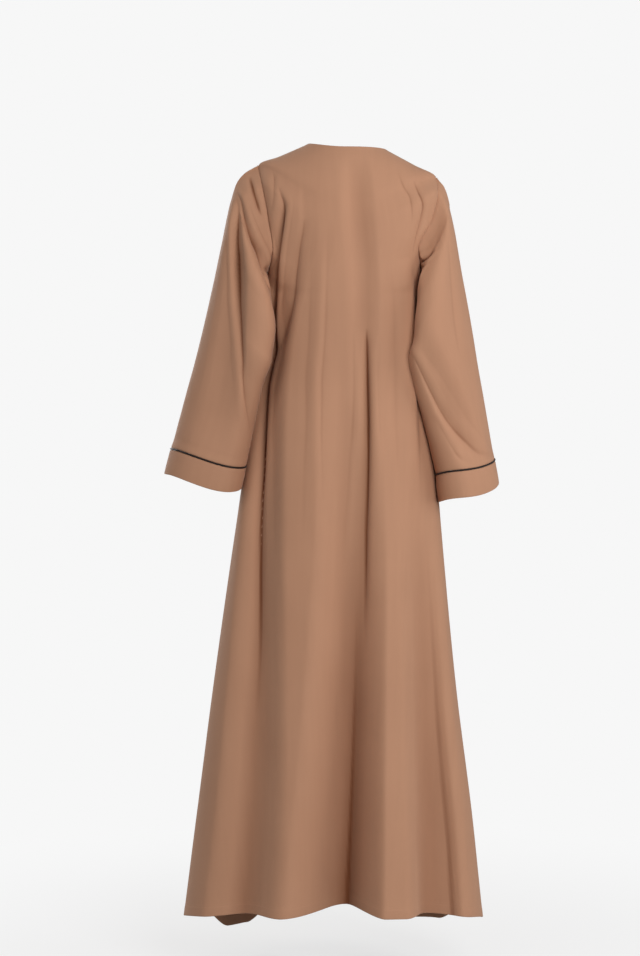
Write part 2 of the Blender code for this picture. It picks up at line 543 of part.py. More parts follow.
def main():
    """Builds the cloak."""
    for old in list(bpy.data.objects):
        bpy.data.objects.remove(old)
    bpy.context.scene.collection.children.link(bpy.data.collections.new("abaya"))
    crepe = cloth_material(**CREPE)
    dark = cloth_material(**PIPING)
    body, back, front_left, front_right = make_body(crepe)
    make_sleeve("left", LEFT_SLEEVE, LEFT_SLEEVE_FOLDS, body, back, front_left, crepe, dark)
    make_sleeve("right", RIGHT_SLEEVE, RIGHT_SLEEVE_FOLDS, body, back, front_right, crepe, dark)


main()
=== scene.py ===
"""The abaya cloak, dressed: every panel, sleeve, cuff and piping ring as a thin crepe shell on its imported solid's own
form, worked out again on a finer grid from the same levels, folds and sections, with creases, seams and turned edges.

Metres, +Z up. +X is the wearer's left and -Y the wearer's front. The origin is the middle of the neck opening.
"""

import logging
from collections.abc import Callable
from dataclasses import dataclass
from enum import Enum

import bpy
import numpy as np
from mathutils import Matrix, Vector


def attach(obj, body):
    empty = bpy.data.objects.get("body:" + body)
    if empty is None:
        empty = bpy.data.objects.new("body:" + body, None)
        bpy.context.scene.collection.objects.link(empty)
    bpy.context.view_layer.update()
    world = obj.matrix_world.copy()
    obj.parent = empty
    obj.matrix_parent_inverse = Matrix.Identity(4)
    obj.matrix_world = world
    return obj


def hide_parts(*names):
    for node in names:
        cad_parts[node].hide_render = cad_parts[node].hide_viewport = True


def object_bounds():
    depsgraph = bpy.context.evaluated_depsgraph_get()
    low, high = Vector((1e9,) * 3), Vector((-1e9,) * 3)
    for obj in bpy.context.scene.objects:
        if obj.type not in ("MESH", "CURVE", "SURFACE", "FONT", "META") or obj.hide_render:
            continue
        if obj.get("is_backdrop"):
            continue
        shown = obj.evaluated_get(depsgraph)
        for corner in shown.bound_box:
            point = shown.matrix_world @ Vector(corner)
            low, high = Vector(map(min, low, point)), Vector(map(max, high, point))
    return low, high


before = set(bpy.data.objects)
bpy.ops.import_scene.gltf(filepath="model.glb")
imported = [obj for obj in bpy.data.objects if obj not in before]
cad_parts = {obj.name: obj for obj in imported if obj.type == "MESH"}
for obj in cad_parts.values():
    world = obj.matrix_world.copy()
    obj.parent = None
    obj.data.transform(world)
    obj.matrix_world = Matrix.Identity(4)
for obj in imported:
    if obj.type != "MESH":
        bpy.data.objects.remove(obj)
cad_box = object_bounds()

Array = np.ndarray
log = logging.getLogger("abaya")

# Cloth and seams
CLOTH = 0.0014  # thickness of the shell
DOUBLED = 0.0022  # thickness where an edge is turned up, and of a cuff
SEAM_GAP = 0.0003  # between two pieces at a seam
SEAM_BULGE = 0.00012  # how far a seamed edge rounds out into the gap
# How deep a point lies in a fold gives the mask by which shade is painted into the cloth's colour, in its folds and at
# its sunk seams
HOLLOW_REACHES = (0.005, 0.012, 0.024)  # how far to each side a fold's depth is felt
HOLLOW_FULL = (0.55, 1.3, 1.3)  # the slope of a fold's two sides, at each reach, at which it counts as wholly deep
SEAM_SINK, SEAM_SINK_RUN = 0.0015, 0.0026  # how far the cloth rolls in at a seam, and in what width
SEAM_QUIET = 0.030  # the width beside a seam in which the cloth's ripples fade out
EDGE_STEPS = (0.0, 0.0006, 0.0014, 0.0025, 0.0040, 0.0062, 0.0095)  # sampling beside a panel's side edges

# Turned edges: how deep the turning is and where it is stitched, from the edge
HEM_TURN, HEM_STITCH = 0.020, 0.018
NECK_TURN, NECK_STITCH = 0.008, 0.0062
FRONT_TURN, FRONT_STITCH = 0.026, 0.0245
TURN_PROUD, TURN_FADE = 0.00035, 0.0016  # how far the turned cloth stands up, and how softly it ends
STITCH_SINK, STITCH_SINK_RUN = 0.00035, 0.0013

# What fades out beside a seam, and how far from it
CREASE_FADE, ARMHOLE_CREASE_FADE = 0.012, 0.008  # creases, beside a panel's seams and beside a sleeve's armhole
PLAIN_NORMALS_RUN, ARMHOLE_NORMALS_RUN = 0.003, 0.006  # in which the form's own normals are kept

# Rows of the body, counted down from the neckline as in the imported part
TIP_ROW, UNDERARM_ROW, HEM_TURN_ROW, HEM_ROW = 4, 15, 32.66, 33
NECK_ROWS, ARMHOLE_ROWS, SKIRT_ROWS, HEM_ROWS = 22, 92, 74, 18  # how many fine rows each stretch has
NECK_GRADING, SKIRT_GRADING = 1.35, 1.3  # above 1, the rows are closer together at the top
FINE_COLUMNS, BACK_COLUMNS, FRONT_COLUMNS = 601, 232, 116  # of the form, and of the panels cut from it
HEM_LIFT, SEAM_CALM = 0.14, 0.14  # how much a fold lifts the cloth, and the share of a row in which it fades out

# The front closing: how far the fronts lap past its middle, and how deep the left one lies under the right one
FRONT_LAP, UNDERLAP_DROP, UNDERLAP_RUN = 0.018, 0.0032, 0.060

# Sleeves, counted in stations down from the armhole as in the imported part
CUFF_SEAM_STATION, CUFF_EDGE_STATION, ROUND_STATION = 15, 16.5, 6
SEAM_STATIONS = (0, 0.025, 0.055, 0.095, 0.15, 0.23, 0.33, 0.45)
ARM_STATIONS, LAST_STATIONS = 164, (14.86, 14.92, 14.96, CUFF_SEAM_STATION)
BODY_CLEARANCE, CLEARANCE_STATION, CLEARING_REACH = 0.004, 1.6, 0.045  # how far a sleeve is kept off the body
CLEARED_OF_ROWS, CLEARED_OF_COLUMNS, CLEARED_OF_X = np.arange(0, 24, 0.25), 161, 0.06  # and which part of it
EVENING_ROUNDS = 3  # how often that push is averaged with its neighbours
SHOULDER_ANGLE, SHOULDER_FADE = np.radians(117), 0.5  # beyond that angle a sleeve's ring rides over the shoulder
SHOULDER_PUSH = 0.002  # and is cleared of the body by no more than this
LAP_ANGLE, LAP_ACROSS, LAP_BACK = np.radians(45), 0.8, 0.6  # where and which way a sleeve laps over the body
PIPING_RADIUS, PIPING_PROUD, PIPING_SIDES = 0.0016, 0.0004, 16
BACKWARD_SHARE, BACKWARD_SOFTNESS = 0.35, 0.4  # a sleeve's back creases fade out where its normals turn forwards
CUFF_CALM = 0.006  # how much nearer the cuff's seam than the armhole the ripples reach
CUFF_ROLL, CUFF_ROLL_RUN = 0.0006, 0.0022  # how far the sleeve rolls in at the cuff's seam
CUFF_ROWS, CUFF_GRADING = 26, 0.4  # above 0, the rows are closer together at the cuff's edges
CUFF_FULL, CUFF_TOP_ROLL, CUFF_TOP_RUN = 0.0007, 0.0006, 0.002
CUFF_RIPPLE, CUFF_RIPPLE_RUN = 0.35, 0.02  # the share of the cloth's ripples left on a cuff, and where they start

# The flat size that each sheet is cut to and the area of the shaped panel in it
CUTS = {
    "back": ((0.975, 1.50), 0.870),
    "front_left": ((0.590, 1.50), 0.465),
    "front_right": ((0.590, 1.50), 0.460),
    "sleeve": ((0.46, 0.56), 0.210),
    "cuff": ((0.46, 0.052), 0.0238),
}
OPEN_SIDES = {"back": (0, 2), "front_left": (0, 2, 3), "front_right": (0, 1, 2)}  # a panel's sides that are no seams

# The tables of shapes are in millimetres, but for these columns: counts, degrees and powers
MM_PER_METRE = 1000
PLAIN_COLUMNS = (
    "row", "station", "left_turn", "right_turn", "side_bend", "side_round", "angle", "run", "drop_angle",
)

# The body's levels: where the middle and the two sides are, how many degrees of an ellipse go from one to the other,
# and how z leaves the middle's height for the side's
LEVEL_COLUMNS = (
    "row", "left_x", "right_x", "centre_x", "left_y", "right_y", "left_turn", "right_turn", "left_z", "right_z",
    "centre_y", "centre_z", "side_bend", "side_round",
)
BACK_LEVELS = {
    "neckline": (0, 74, 79, 0, 0, 0, 84, 84, 8, -4, 60, -7, 2, 0.7),
    "mid_shoulder": (2, 130, 134, 0, 0, 0, 70, 70, -16, -33, 90, -62, 2.2, 0.85),
    "shoulder_tip": (4, 172, 178, 0, 0, 0, 50, 50, -34, -58, 107, -110, 2.5, 1),
    "armhole_high": (6.2, 163, 179, 0, 40, 36, 70, 72, -80, -94, 116, -154, 2.8, 1),
    "armhole_mid": (8.7, 152, 168, 1, 57, 48, 62, 67, -138, -142, 122, -202, 3.2, 0.6),
    "armhole_low": (11.4, 143, 140, 1, 63, 64, 60, 59, -204, -204, 125, -250, 3.6, 0.15),
    "armhole_turn": (13.3, 150, 146, 1, 38, 40, 75, 74, -238, -238, 126, -282, 4, 0),
    "underarm": (15, 156, 152, 2, 0, 0, 90, 90, -254, -254, 126, -306, 4, 0),
    "chest": (16.4, 161, 155, 3, 0, 0, 90, 90, -324, -324, 124, -356, 3.6, 0),
    "waist": (18.2, 172, 161, 6, 0, 0, 90, 90, -440, -440, 122, -454, 3, 0),
    "hip": (20.8, 197, 176, 10, 0, 0, 90, 90, -620, -620, 138, -620, 2.5, 0),
    "thigh": (23.4, 224, 191, 15, 0, 0, 90, 90, -800, -800, 153, -790, 2, 0),
    "knee": (27, 259, 215, 21, 0, 0, 90, 90, -1050, -1050, 174, -1030, 2, 0),
    "shin": (30.5, 291, 246, 23, 0, 0, 90, 90, -1300, -1300, 194, -1272, 2, 0),
    "hem": (33, 316.5, 267, 25, 0, 0, 90, 90, -1500, -1503, 210, -1464, 2, 0),
}
FRONT_LEVELS = {
    "neckline": (0, 74, 79, 0, 0, 0, 84, 84, 8, -4, -66, -90, 2.2, 0.7),
    "mid_shoulder": (2, 130, 134, 0, 0, 0, 70, 70, -16, -33, -88, -120, 2.4, 0.85),
    "shoulder_tip": (4, 172, 178, 0, 0, 0, 50, 50, -34, -58, -104, -150, 2.6, 1),
    "armhole_high": (6.2, 156, 170, 0, -48, -48, 65, 65, -80, -94, -114, -182, 2.8, 1),
    "armhole_mid": (8.7, 143, 153, 1, -68, -64, 57, 59, -138, -142, -124, -218, 3.2, 0.6),
    "armhole_low": (11.4, 138, 137, 1, -74, -74, 56, 56, -204, -204, -132, -258, 3.6, 0.15),
    "armhole_turn": (13.3, 147, 143, 1, -51, -55, 68, 66, -238, -238, -136, -288, 4, 0),
} | {
    name: (*BACK_LEVELS[name][:10], centre_y, centre_z, *BACK_LEVELS[name][12:])
    for name, centre_y, centre_z in (
        ("underarm", -138, -312), ("chest", -138, -364), ("waist", -134, -466), ("hip", -141, -638),
        ("thigh", -153, -818), ("knee", -171, -1068), ("shin", -188, -1316), ("hem", -202, -1505),
    )
}

# A trough that runs down the cloth: how far down, where it is across, how deep it is, and how far it takes to come
# up again towards the wearer's left and right
TROUGH_COLUMNS = ("down", "x", "depth", "left_run", "right_run")
BACK_FOLDS = {
    "centre": (
        (60, -20, 0, 30, 30), (400, -4, 6, 52, 52), (690, -18, 25, 78, 56), (900, -24, 50, 97, 54),
        (1100, -22, 74, 111, 53), (1480, -8, 114, 135, 63),
    ),
    "left_side": (
        (150, 80, 0, 30, 40), (260, 112, 8, 28, 42), (340, 134, 12, 28, 44), (500, 158, 18, 30, 48),
        (700, 171, 23, 36, 58), (1050, 184, 30, 48, 74), (1300, 196, 36, 58, 84), (1480, 214, 42, 62, 88),
    ),
    "right_side": (
        (620, -132, 0, 45, 35), (820, -146, 13, 52, 38), (1050, -160, 25, 60, 44), (1300, -173, 37, 66, 54),
        (1480, -178, 46, 68, 60),
    ),
}
FRONT_FOLDS = {
    "left_panel": (
        (340, 80, 0, 40, 40), (620, 92, 8, 48, 48), (900, 106, 22, 60, 58), (1200, 118, 36, 72, 68),
        (1520, 128, 52, 84, 80),
    ),
    "right_panel": (
        (380, -70, 0, 40, 40), (660, -80, 7, 45, 45), (950, -92, 20, 58, 56), (1250, -102, 34, 68, 66),
        (1520, -110, 48, 76, 74),
    ),
    "left_side": ((900, 208, 0, 26, 40), (1200, 228, 8, 32, 46), (1500, 244, 17, 42, 54)),
}
# Where the front hem dips, between its middle and its sides (x, drop, run), and the row below which the cloth comes
# down to that
FRONT_DIPS = {"left": (224, 43, 66), "right": (-163, 30, 76)}
DIP_EDGE, DIP_ROW = 1.5, 27

# Creases: narrower V-bottomed troughs that only the dressed cloth has
BACK_CREASES = {
    "centre_pleat": (
        (360, -38.5, 0, 14, 12), (400, -40, 7, 13, 10), (460, -40, 12, 13, 10), (535, -40, 14.5, 14, 11),
        (611, -38.5, 12.5, 16, 14), (680, -36.5, 10.5, 17, 15), (748, -34.5, 8, 18, 16), (850, -34, 4.5, 18, 16),
        (960, -33, 0, 18, 16),
    ),
    "spine": (
        (20, -18, 0, 32, 24), (60, -20.5, 6, 36, 30), (117, -25, 8.5, 40, 32), (174, -29, 9, 40, 32),
        (231, -33.5, 9, 40, 30), (307, -36.5, 9, 40, 30), (383, -37, 8.5, 40, 30), (460, -38.5, 6, 36, 28),
        (560, -38.5, 0, 34, 26),
    ),
    "left_armhole": (
        (84, 130, 0, 14, 8), (102, 126, 3.5, 16, 9), (124, 121, 8, 18, 10), (148, 123.5, 12.5, 20, 10),
        (195, 130.5, 14.5, 19, 10), (242, 136, 15, 17, 10), (289, 139.5, 15, 15, 10), (340, 144, 12, 15, 10),
        (385, 148, 0, 15, 11),
    ),
    "left_waist": (
        (280, 138.5, 0, 16, 10), (342, 140.5, 12, 18, 10), (390, 140, 16, 20, 10), (430, 147.5, 16.5, 21, 10),
        (465, 154.5, 16.5, 22, 10), (530, 159, 16.5, 24, 10), (611, 163, 15, 24, 12), (690, 166, 12.5, 24, 14),
        (765, 167, 10, 24, 16), (840, 166.5, 7.5, 24, 18), (950, 166, 4.5, 26, 22), (1100, 170, 0, 30, 30),
    ),
    "left_blade": (
        (150, 80, 0, 14, 11), (173, 83, 2, 14, 11), (217, 90.5, 3.5, 15, 11), (252, 95.5, 4.5, 16, 12),
        (299, 100.5, 5, 16, 13), (330, 107.5, 5.5, 17, 13), (383, 123, 5, 17, 14), (430, 137, 0, 17, 14),
    ),
    "left_yoke": ((80, 80, 0, 12, 20), (110, 79, 1.6, 14, 24), (160, 77, 2, 16, 26), (205, 80, 0, 16, 26)),
    "left_tip": ((52, 142, 0, 10, 8), (72, 139, 2, 11, 8), (110, 140, 1.6, 11, 8), (140, 143, 0, 10, 8)),
    "middle_ridge": (
        (160, 48, 0, 20, 14), (260, 49, -2.4, 20, 14), (383, 53.5, -4.4, 20, 14), (459, 59, -4.6, 20, 14),
        (535, 60, -3.6, 18, 14), (650, 62, -2.2, 22, 18), (800, 60, 0, 24, 20),
    ),
    "right_armhole": (
        (70, -130, 0, 12, 7), (92, -138, 2.4, 13, 8), (123, -149, 4, 13, 8), (145, -146, 4.5, 13, 8),
        (171, -139, 4.2, 13, 8), (190, -134, 3.2, 12, 8), (218, -126, 0, 10, 7),
    ),
    "right_blade": (
        (56, -100, 0, 14, 9), (80, -108, 1.4, 14, 9), (110, -123, 1.8, 14, 9), (140, -126, 1.2, 14, 9),
        (170, -124, 0, 14, 9),
    ),
    "right_edge": (
        (225, -118, 0, 34, 12), (290, -120.5, -6, 34, 12), (360, -122.5, -8.5, 34, 12), (460, -124.5, -8.5, 34, 12),
        (560, -126.5, -6, 34, 13), (680, -129, 0, 34, 14),
    ),
    "right_flank": (
        (760, -150, 0, 40, 18), (915, -162, 5, 44, 19), (1140, -176, 8.5, 50, 20), (1370, -194, 10, 56, 22),
        (1480, -200, 10, 58, 22),
    ),
}
FRONT_CREASES = {
    "left_armhole": (
        (96, 124, 0, 10, 14), (140, 119, 4, 12, 15), (200, 122, 6.4, 12, 16), (270, 131, 7.4, 11, 16),
        (340, 140, 0, 10, 16),
    ),
    "right_armhole": (
        (100, -128, 0, 12, 10), (146, -122, 3.5, 14, 11), (206, -124, 5.5, 14, 11), (280, -133, 5, 14, 10),
        (330, -139, 0, 14, 10),
    ),
    "left_chest": ((130, 70, 0, 16, 16), (220, 66, 2.6, 20, 22), (400, 72, 0, 22, 24)),
    "left_panel": (
        (480, 86, 0, 20, 18), (660, 90, 5, 24, 20), (1020, 106, 8, 28, 24), (1320, 118, 9, 30, 26),
        (1520, 124, 8, 30, 26),
    ),
    "right_chest": ((150, -60, 0, 16, 16), (260, -58, 2.8, 22, 20), (430, -66, 0, 24, 22)),
    "right_panel": (
        (560, -76, 0, 18, 20), (760, -84, 4.5, 20, 24), (1100, -98, 7, 22, 28), (1380, -106, 7, 24, 30),
        (1520, -110, 5, 24, 30),
    ),
}

# A sleeve's sections: its outer and inner edges, how far it bellies out to the back and the front, how far it laps
# over the body, and how far its back hangs lower, most at one angle
SLEEVE_COLUMNS = (
    "station", "outer_x", "outer_y", "outer_z", "inner_x", "inner_y", "inner_z", "back", "front", "lap", "back_drop",
    "drop_angle",
)
LEFT_SLEEVE = {
    "armhole": (0, 172, 0, -34, 156, 0, -254, 72, 72, 0, 0, 62),
    "cap": (1, 198, 2, -50, 160, 2, -278, 75, 74, 2, 0, 62),
    "shoulder": (2, 213, 3, -69, 162, 8, -299, 77, 75, 10, 0, 62),
    "below_cap": (3, 221, 4, -93, 160, 18, -318, 77, 76, 18, 0, 62),
    "upper_arm": (5, 235, 5, -155, 150, 46, -348, 72, 78, 20, 0, 62),
    "mid_arm": (7, 252, 6, -238, 143, 72, -380, 66, 80, 8, 0, 62),
    "above_elbow": (9, 272, 6, -326, 145, 80, -418, 62, 80, 0, 0, 62),
    "elbow": (11, 296, 3, -420, 162, 64, -468, 62, 78, 0, 0, 62),
    "forearm": (13, 320, -4, -505, 177, 42, -545, 64, 76, 0, 4, 62),
    "cuff_seam": (15, 343, -10, -586, 193, 36, -619, 67, 74, 0, 10.5, 62),
    "cuff_edge": (16.5, 357, -13, -636, 202, 33, -661, 68, 73, 0, 16, 62),
}
RIGHT_SLEEVE = {
    "armhole": (0, 178, 0, -58, 152, 0, -254, 70, 70, 0, 0, 123),
    "cap": (1, 189, 2, -76, 156, 2, -278, 74, 74, 2, 0, 123),
    "shoulder": (2, 196, 3, -94, 158, 8, -299, 77, 77, 10, 0, 123),
    "below_cap": (3, 200, 4, -110, 157, 13, -318, 78, 78, 24, 0, 123),
    "upper_arm": (5, 210, 5, -155, 149, 34, -348, 75, 80, 27, 0, 123),
    "mid_arm": (7, 223, 6, -232, 133, 72, -382, 71, 84, 10, 0, 123),
    "above_elbow": (9, 241, 6, -330, 119, 90, -418, 69, 86, 0, 0, 123),
    "elbow": (11, 257, 3, -425, 128, 78, -465, 72, 86, 0, 0, 123),
    "forearm": (13, 274, -4, -513, 150, 50, -546, 76, 86, 0, 4, 123),
    "cuff_seam": (15, 291.5, -10, -603, 172, 38, -637, 80, 86, 0, 10.5, 123),
    "cuff_edge": (16.5, 301, -13, -648, 178, 36, -691, 81, 86, 0, 15.5, 123),
}
# Troughs round a sleeve: the angle goes from the inner edge over the back, and the run is how many degrees one takes
# to come up again
SLEEVE_FOLD_COLUMNS = ("station", "angle", "depth", "run")
LEFT_SLEEVE_FOLDS = {
    "drape": ((3, 128, 0, 30), (6, 122, 12, 34), (9, 108, 12, 36), (12, 92, 9, 38), (15, 84, 4, 40)),
    "front": ((4, 246, 0, 30), (8, 250, 10, 36), (12, 262, 12, 40), (15, 270, 6, 44)),
}
RIGHT_SLEEVE_FOLDS = {
    "drape": ((7, 40, 0, 30), (10, 62, 10, 34), (12.5, 84, 12, 36), (15, 112, 4, 40)),
    "front": ((4, 240, 0, 30), (8, 246, 10, 36), (12, 256, 12, 40), (15, 268, 6, 44)),
}
LEFT_BACK_CREASES = {
    "from_shoulder": (
        (86, 213, 0, 18, 8), (104, 206.5, 5, 20, 8), (142.5, 195.5, 9.5, 22, 8), (181, 180, 13.5, 24, 8),
        (210, 165.5, 15, 24, 8), (251, 151.5, 14, 22, 8), (289, 138.5, 9, 18, 8), (312, 131, 0, 16, 8),
    ),
    "cap": (
        (56, 188, 0, 10, 6), (71, 184.5, 4, 10, 6), (94, 178, 5.5, 10, 6), (119, 170.5, 4.5, 10, 6),
        (140, 164.5, 0, 10, 6),
    ),
    "down_arm": (
        (100, 213, 0, 7, 20), (120, 214, 6, 7, 24), (145, 215.5, 11, 7, 28), (180, 216.5, 13.5, 7, 32),
        (225, 215, 15, 7, 36), (265, 213.5, 14, 7, 36), (307, 211, 11.5, 8, 34), (345, 208, 10.5, 8, 30),
        (383, 205, 9, 8, 26), (420, 202, 7.5, 9, 24), (459, 198.5, 5.5, 9, 22), (497, 193, 3.8, 10, 20),
        (535, 187, 2, 10, 20), (570, 182, 0, 10, 20),
    ),
    "outer_arm": (
        (220, 244, 0, 16, 12), (300, 252, 1.6, 18, 14), (400, 268, 1.2, 20, 16), (500, 286, 0.8, 22, 18),
        (570, 300, 0, 24, 18),
    ),
}
LEFT_FRONT_CREASES = {
    "from_shoulder": (
        (90, 200, 0, 16, 10), (140, 192, 4, 20, 10), (200, 176, 7, 22, 10), (260, 164, 6, 20, 10),
        (310, 160, 0, 18, 10),
    ),
    "down_arm": ((200, 226, 0, 10, 22), (320, 224, 6.5, 10, 28), (440, 232, 5, 12, 28), (540, 244, 0, 12, 24)),
}
RIGHT_BACK_CREASES = {
    "elbow": (
        (392, -110, 0, 26, 11), (437, -137, 5, 30, 14), (469, -155, 7, 34, 16), (515, -181, 7.5, 34, 17),
        (551, -207, 6.2, 30, 16), (583, -238, 3, 26, 14), (604, -260, 0, 24, 14),
    ),
    "below_elbow": (
        (520, -166, 0, 20, 12), (556, -183, 2.6, 22, 13), (596, -208, 2.4, 22, 14), (618, -224, 0, 20, 14),
    ),
    "pinch": ((206, -168, 0, 8, 6), (219, -156, 7, 8, 6), (234, -137, 8, 8, 6), (243, -127, 0, 8, 6)),
    "lower_pinch": ((236, -148, 0, 7, 6), (246, -140, 6, 7, 6), (258, -135, 6, 7, 6), (268, -132, 0, 7, 6)),
    "down_arm": (
        (150, -196, 0, 18, 14), (230, -199.5, 2.6, 22, 16), (340, -207, 2.4, 24, 16), (430, -218, 0, 24, 16),
    ),
}
RIGHT_FRONT_CREASES = {
    "elbow": ((380, -130, 0, 14, 16), (450, -160, 6, 15, 18), (520, -190, 7, 15, 18), (590, -220, 0, 15, 18)),
    "from_shoulder": ((110, -186, 0, 10, 16), (170, -176, 5, 11, 20), (240, -162, 6, 11, 20), (300, -158, 0, 11, 18)),
}
CREASE_LIP = 0.10  # how high the cloth stands up beside a crease, as a share of its depth
LIP_AT, LIP_RUN, LIP_FROM = 1.35, 0.75, 0.6  # where that lip is highest, how wide it is and where it starts
CREASE_POINT = 0.07  # how round the point of its V is, as a share of its run
SOFT_CREASES = ("spine", "middle_ridge", "right_edge", "right_flank", "left_yoke", "outer_arm")

# Ripples of the cloth: (how wide, how long, how high, seed)
RIPPLES = ((0.110, 0.420, 0.0024, 11), (0.046, 0.190, 0.0009, 12), (0.017, 0.050, 0.00022, 13))
RIPPLE_SLANT = 0.45  # how far they move across for each metre towards the wearer's back
LATTICE, LATTICE_SHIFT = 128, (64.37, 64.71)

WHITE = (1.0, 1.0, 1.0, 1.0)
# The studio's soft lights, all aimed at the cloak's middle: (name, place, size, power)
LIGHTS = (
    ("key", (-1.3, 3.3, 0.4), 1.8, 86),
    ("rim", (-3.0, 0.6, 0.0), 1.6, 32),
    ("fill", (2.8, 1.4, 0.0), 1.8, 20),
    ("front_key", (2.1, -3.1, 0.6), 2.0, 78),
    ("top", (0.0, 0.8, 2.4), 2.0, 10),
)


def smooth(keys: Array, values: Array, at: Array) -> Array:
    """Reads a table on a cubic through every key that never leaves the range of the two keys beside it.

    Args:
        keys: The table's keys, rising.
        values: Its value at each key.
        at: Where it is read; past the ends it stays flat.

    Returns:
        The values there.
    """
    at = np.clip(at, keys[0], keys[-1])
    rises = np.diff(values) / np.diff(keys)
    before, after = rises[:-1], rises[1:]
    steady = before * after > 0
    inner = np.where(steady, 2 * before * after / np.where(steady, before + after, 1), 0)
    slopes = np.concatenate([rises[:1], inner, rises[-1:]])
    i = np.clip(np.searchsorted(keys, at, side="right") - 1, 0, len(keys) - 2)
    span = keys[i + 1] - keys[i]
    t = (at - keys[i]) / span
    return (
        values[i] * (1 + 2 * t) * (1 - t) ** 2
        + values[i + 1] * t**2 * (3 - 2 * t)
        + span * (slopes[i] * t * (1 - t) ** 2 - slopes[i + 1] * t**2 * (1 - t))
    )


def smoothstep(value: Array) -> Array:
    """0 below 0, 1 above 1, and a soft step between."""
    value = np.clip(value, 0, 1)
    return value * value * (3 - 2 * value)


def unit(vectors: Array) -> Array:
    """The vectors at length 1."""
    return vectors / np.maximum(np.linalg.norm(vectors, axis=-1, keepdims=True), 1e-12)


def hump(offset: Array, run: Array) -> Array:
    """1 in the middle, falling to 0 at the run by the square of one less the squared share."""
    return (1 - np.clip(np.abs(offset) / run, 0, 1) ** 2) ** 2


def bell(offset: Array, run: float) -> Array:
    """1 at 0, falling off to both sides by a bell curve: to 1/e at the run."""
    return np.exp(-((offset / run) ** 2))


def wrapped(grid: Array, *axes: int) -> Array:
    """The grid with its first row (axis 0) or column (axis 1) once more after its last one.

    Args:
        grid: Values [row][column].
        *axes: Which ways it goes on.

    Returns:
        The larger grid.
    """
    for axis in axes:
        grid = np.concatenate([grid, grid.take([0], axis)], axis)
    return grid


def runs_along(grid: Array, axis: int) -> Array:
    """How far along a grid's rows (axis 1) or columns (axis 0) each of its points is.

    Args:
        grid: Points [row][column].
        axis: Which way it goes.

    Returns:
        The runs [row][column].
    """
    steps = np.linalg.norm(np.diff(grid, axis=axis), axis=-1)
    pad = [(1, 0) if k == axis else (0, 0) for k in range(2)]
    return np.pad(np.cumsum(steps, axis=axis), pad)


def grid_normals(grid: Array, closed: bool = False) -> Array:
    """Unit normals of a grid [row][column]: its slope down the rows crossed with its slope along them."""
    along = (np.roll(grid, -1, 1) - np.roll(grid, 1, 1)) / 2 if closed else np.gradient(grid, axis=1)
    return unit(np.cross(np.gradient(grid, axis=0), along))


def resampled(lines: Array, values: Array, at: Array) -> Array:
    """Values read along each line of a grid.

    Args:
        lines: Points [line][point], which say how far along a value is.
        values: A vector for each point.
        at: The runs at which they are read, [line][sample].

    Returns:
        The vectors [line][sample], between their neighbours by share. All lines are read at once, each moved past
        the one before it.
    """
    run = runs_along(lines, 1)
    lift = np.arange(len(lines))[:, None] * (run.max() + 1.0)
    places, wanted = (run + lift).ravel(), (at + lift).ravel()
    read = [np.interp(wanted, places, values[..., k].ravel()) for k in range(3)]
    return np.stack(read, axis=-1).reshape(*at.shape, 3)


def value_noise(across: Array, down: Array, cell: tuple[float, float], seed: int) -> Array:
    """Smooth noise from -1 to 1: random heights on a lattice of cells, with soft steps between them.

    Args:
        across: Where it is read, across the cloth.
        down: And down it.
        cell: Width and length of a cell.
        seed: Of the random heights.

    Returns:
        The noise there.
    """
    lattice = np.random.default_rng(seed).uniform(-1, 1, (LATTICE, LATTICE))
    u, v = across / cell[0] + LATTICE_SHIFT[0], down / cell[1] + LATTICE_SHIFT[1]
    i, j = np.floor(u).astype(int), np.floor(v).astype(int)
    s, t = smoothstep(u - i), smoothstep(v - j)
    corner = lambda di, dj: lattice[(i + di) % LATTICE, (j + dj) % LATTICE]
    top = corner(0, 0) * (1 - s) + corner(1, 0) * s
    bottom = corner(0, 1) * (1 - s) + corner(1, 1) * s
    return top * (1 - t) + bottom * t


def ripple_height(points: Array) -> Array:
    """Height of the cloth's ripples at each point, the same on two pieces where they meet."""
    across, down = points[..., 0] + RIPPLE_SLANT * points[..., 1], points[..., 2]
    return sum(high * value_noise(across, down, (wide, long), seed) for wide, long, high, seed in RIPPLES)


@dataclass(frozen=True)
class Table:
    """Rows of sizes under named columns. The first column is the key that the others are read by."""

    columns: tuple[str, ...]
    rows: tuple[tuple[float, ...], ...]

    def at(self, where: Array) -> dict[str, Array]:
        """Every other column in metres, read at the given keys.

        Args:
            where: The keys.

        Returns:
            The values under each column's name.
        """
        units = np.array([[1 if name in PLAIN_COLUMNS else MM_PER_METRE] for name in self.columns])
        keys, *others = np.array(self.rows, float).T / units
        return {name: smooth(keys, values, where) for name, values in zip(self.columns[1:], others)}

    def down_grid(self, where: Array) -> dict[str, Array]:
        """The same for the rows of a grid: each value goes for all the columns."""
        return {name: values[:, None] for name, values in self.at(where).items()}


def round_bottomed(share: Array) -> Array:
    """Depth of a soft trough, as a share, at a share of its run."""
    return hump(share, 1.0)


def v_bottomed(share: Array) -> Array:
    """Depth of a creased trough: the square of what a rounded V leaves of 1, less a low lip beyond its edge."""
    point = (np.sqrt(share**2 + CREASE_POINT**2) - CREASE_POINT) / (np.sqrt(1 + CREASE_POINT**2) - CREASE_POINT)
    return (1 - np.clip(point, 0, 1)) ** 2 - CREASE_LIP * hump(share - LIP_AT, LIP_RUN) * (share > LIP_FROM)


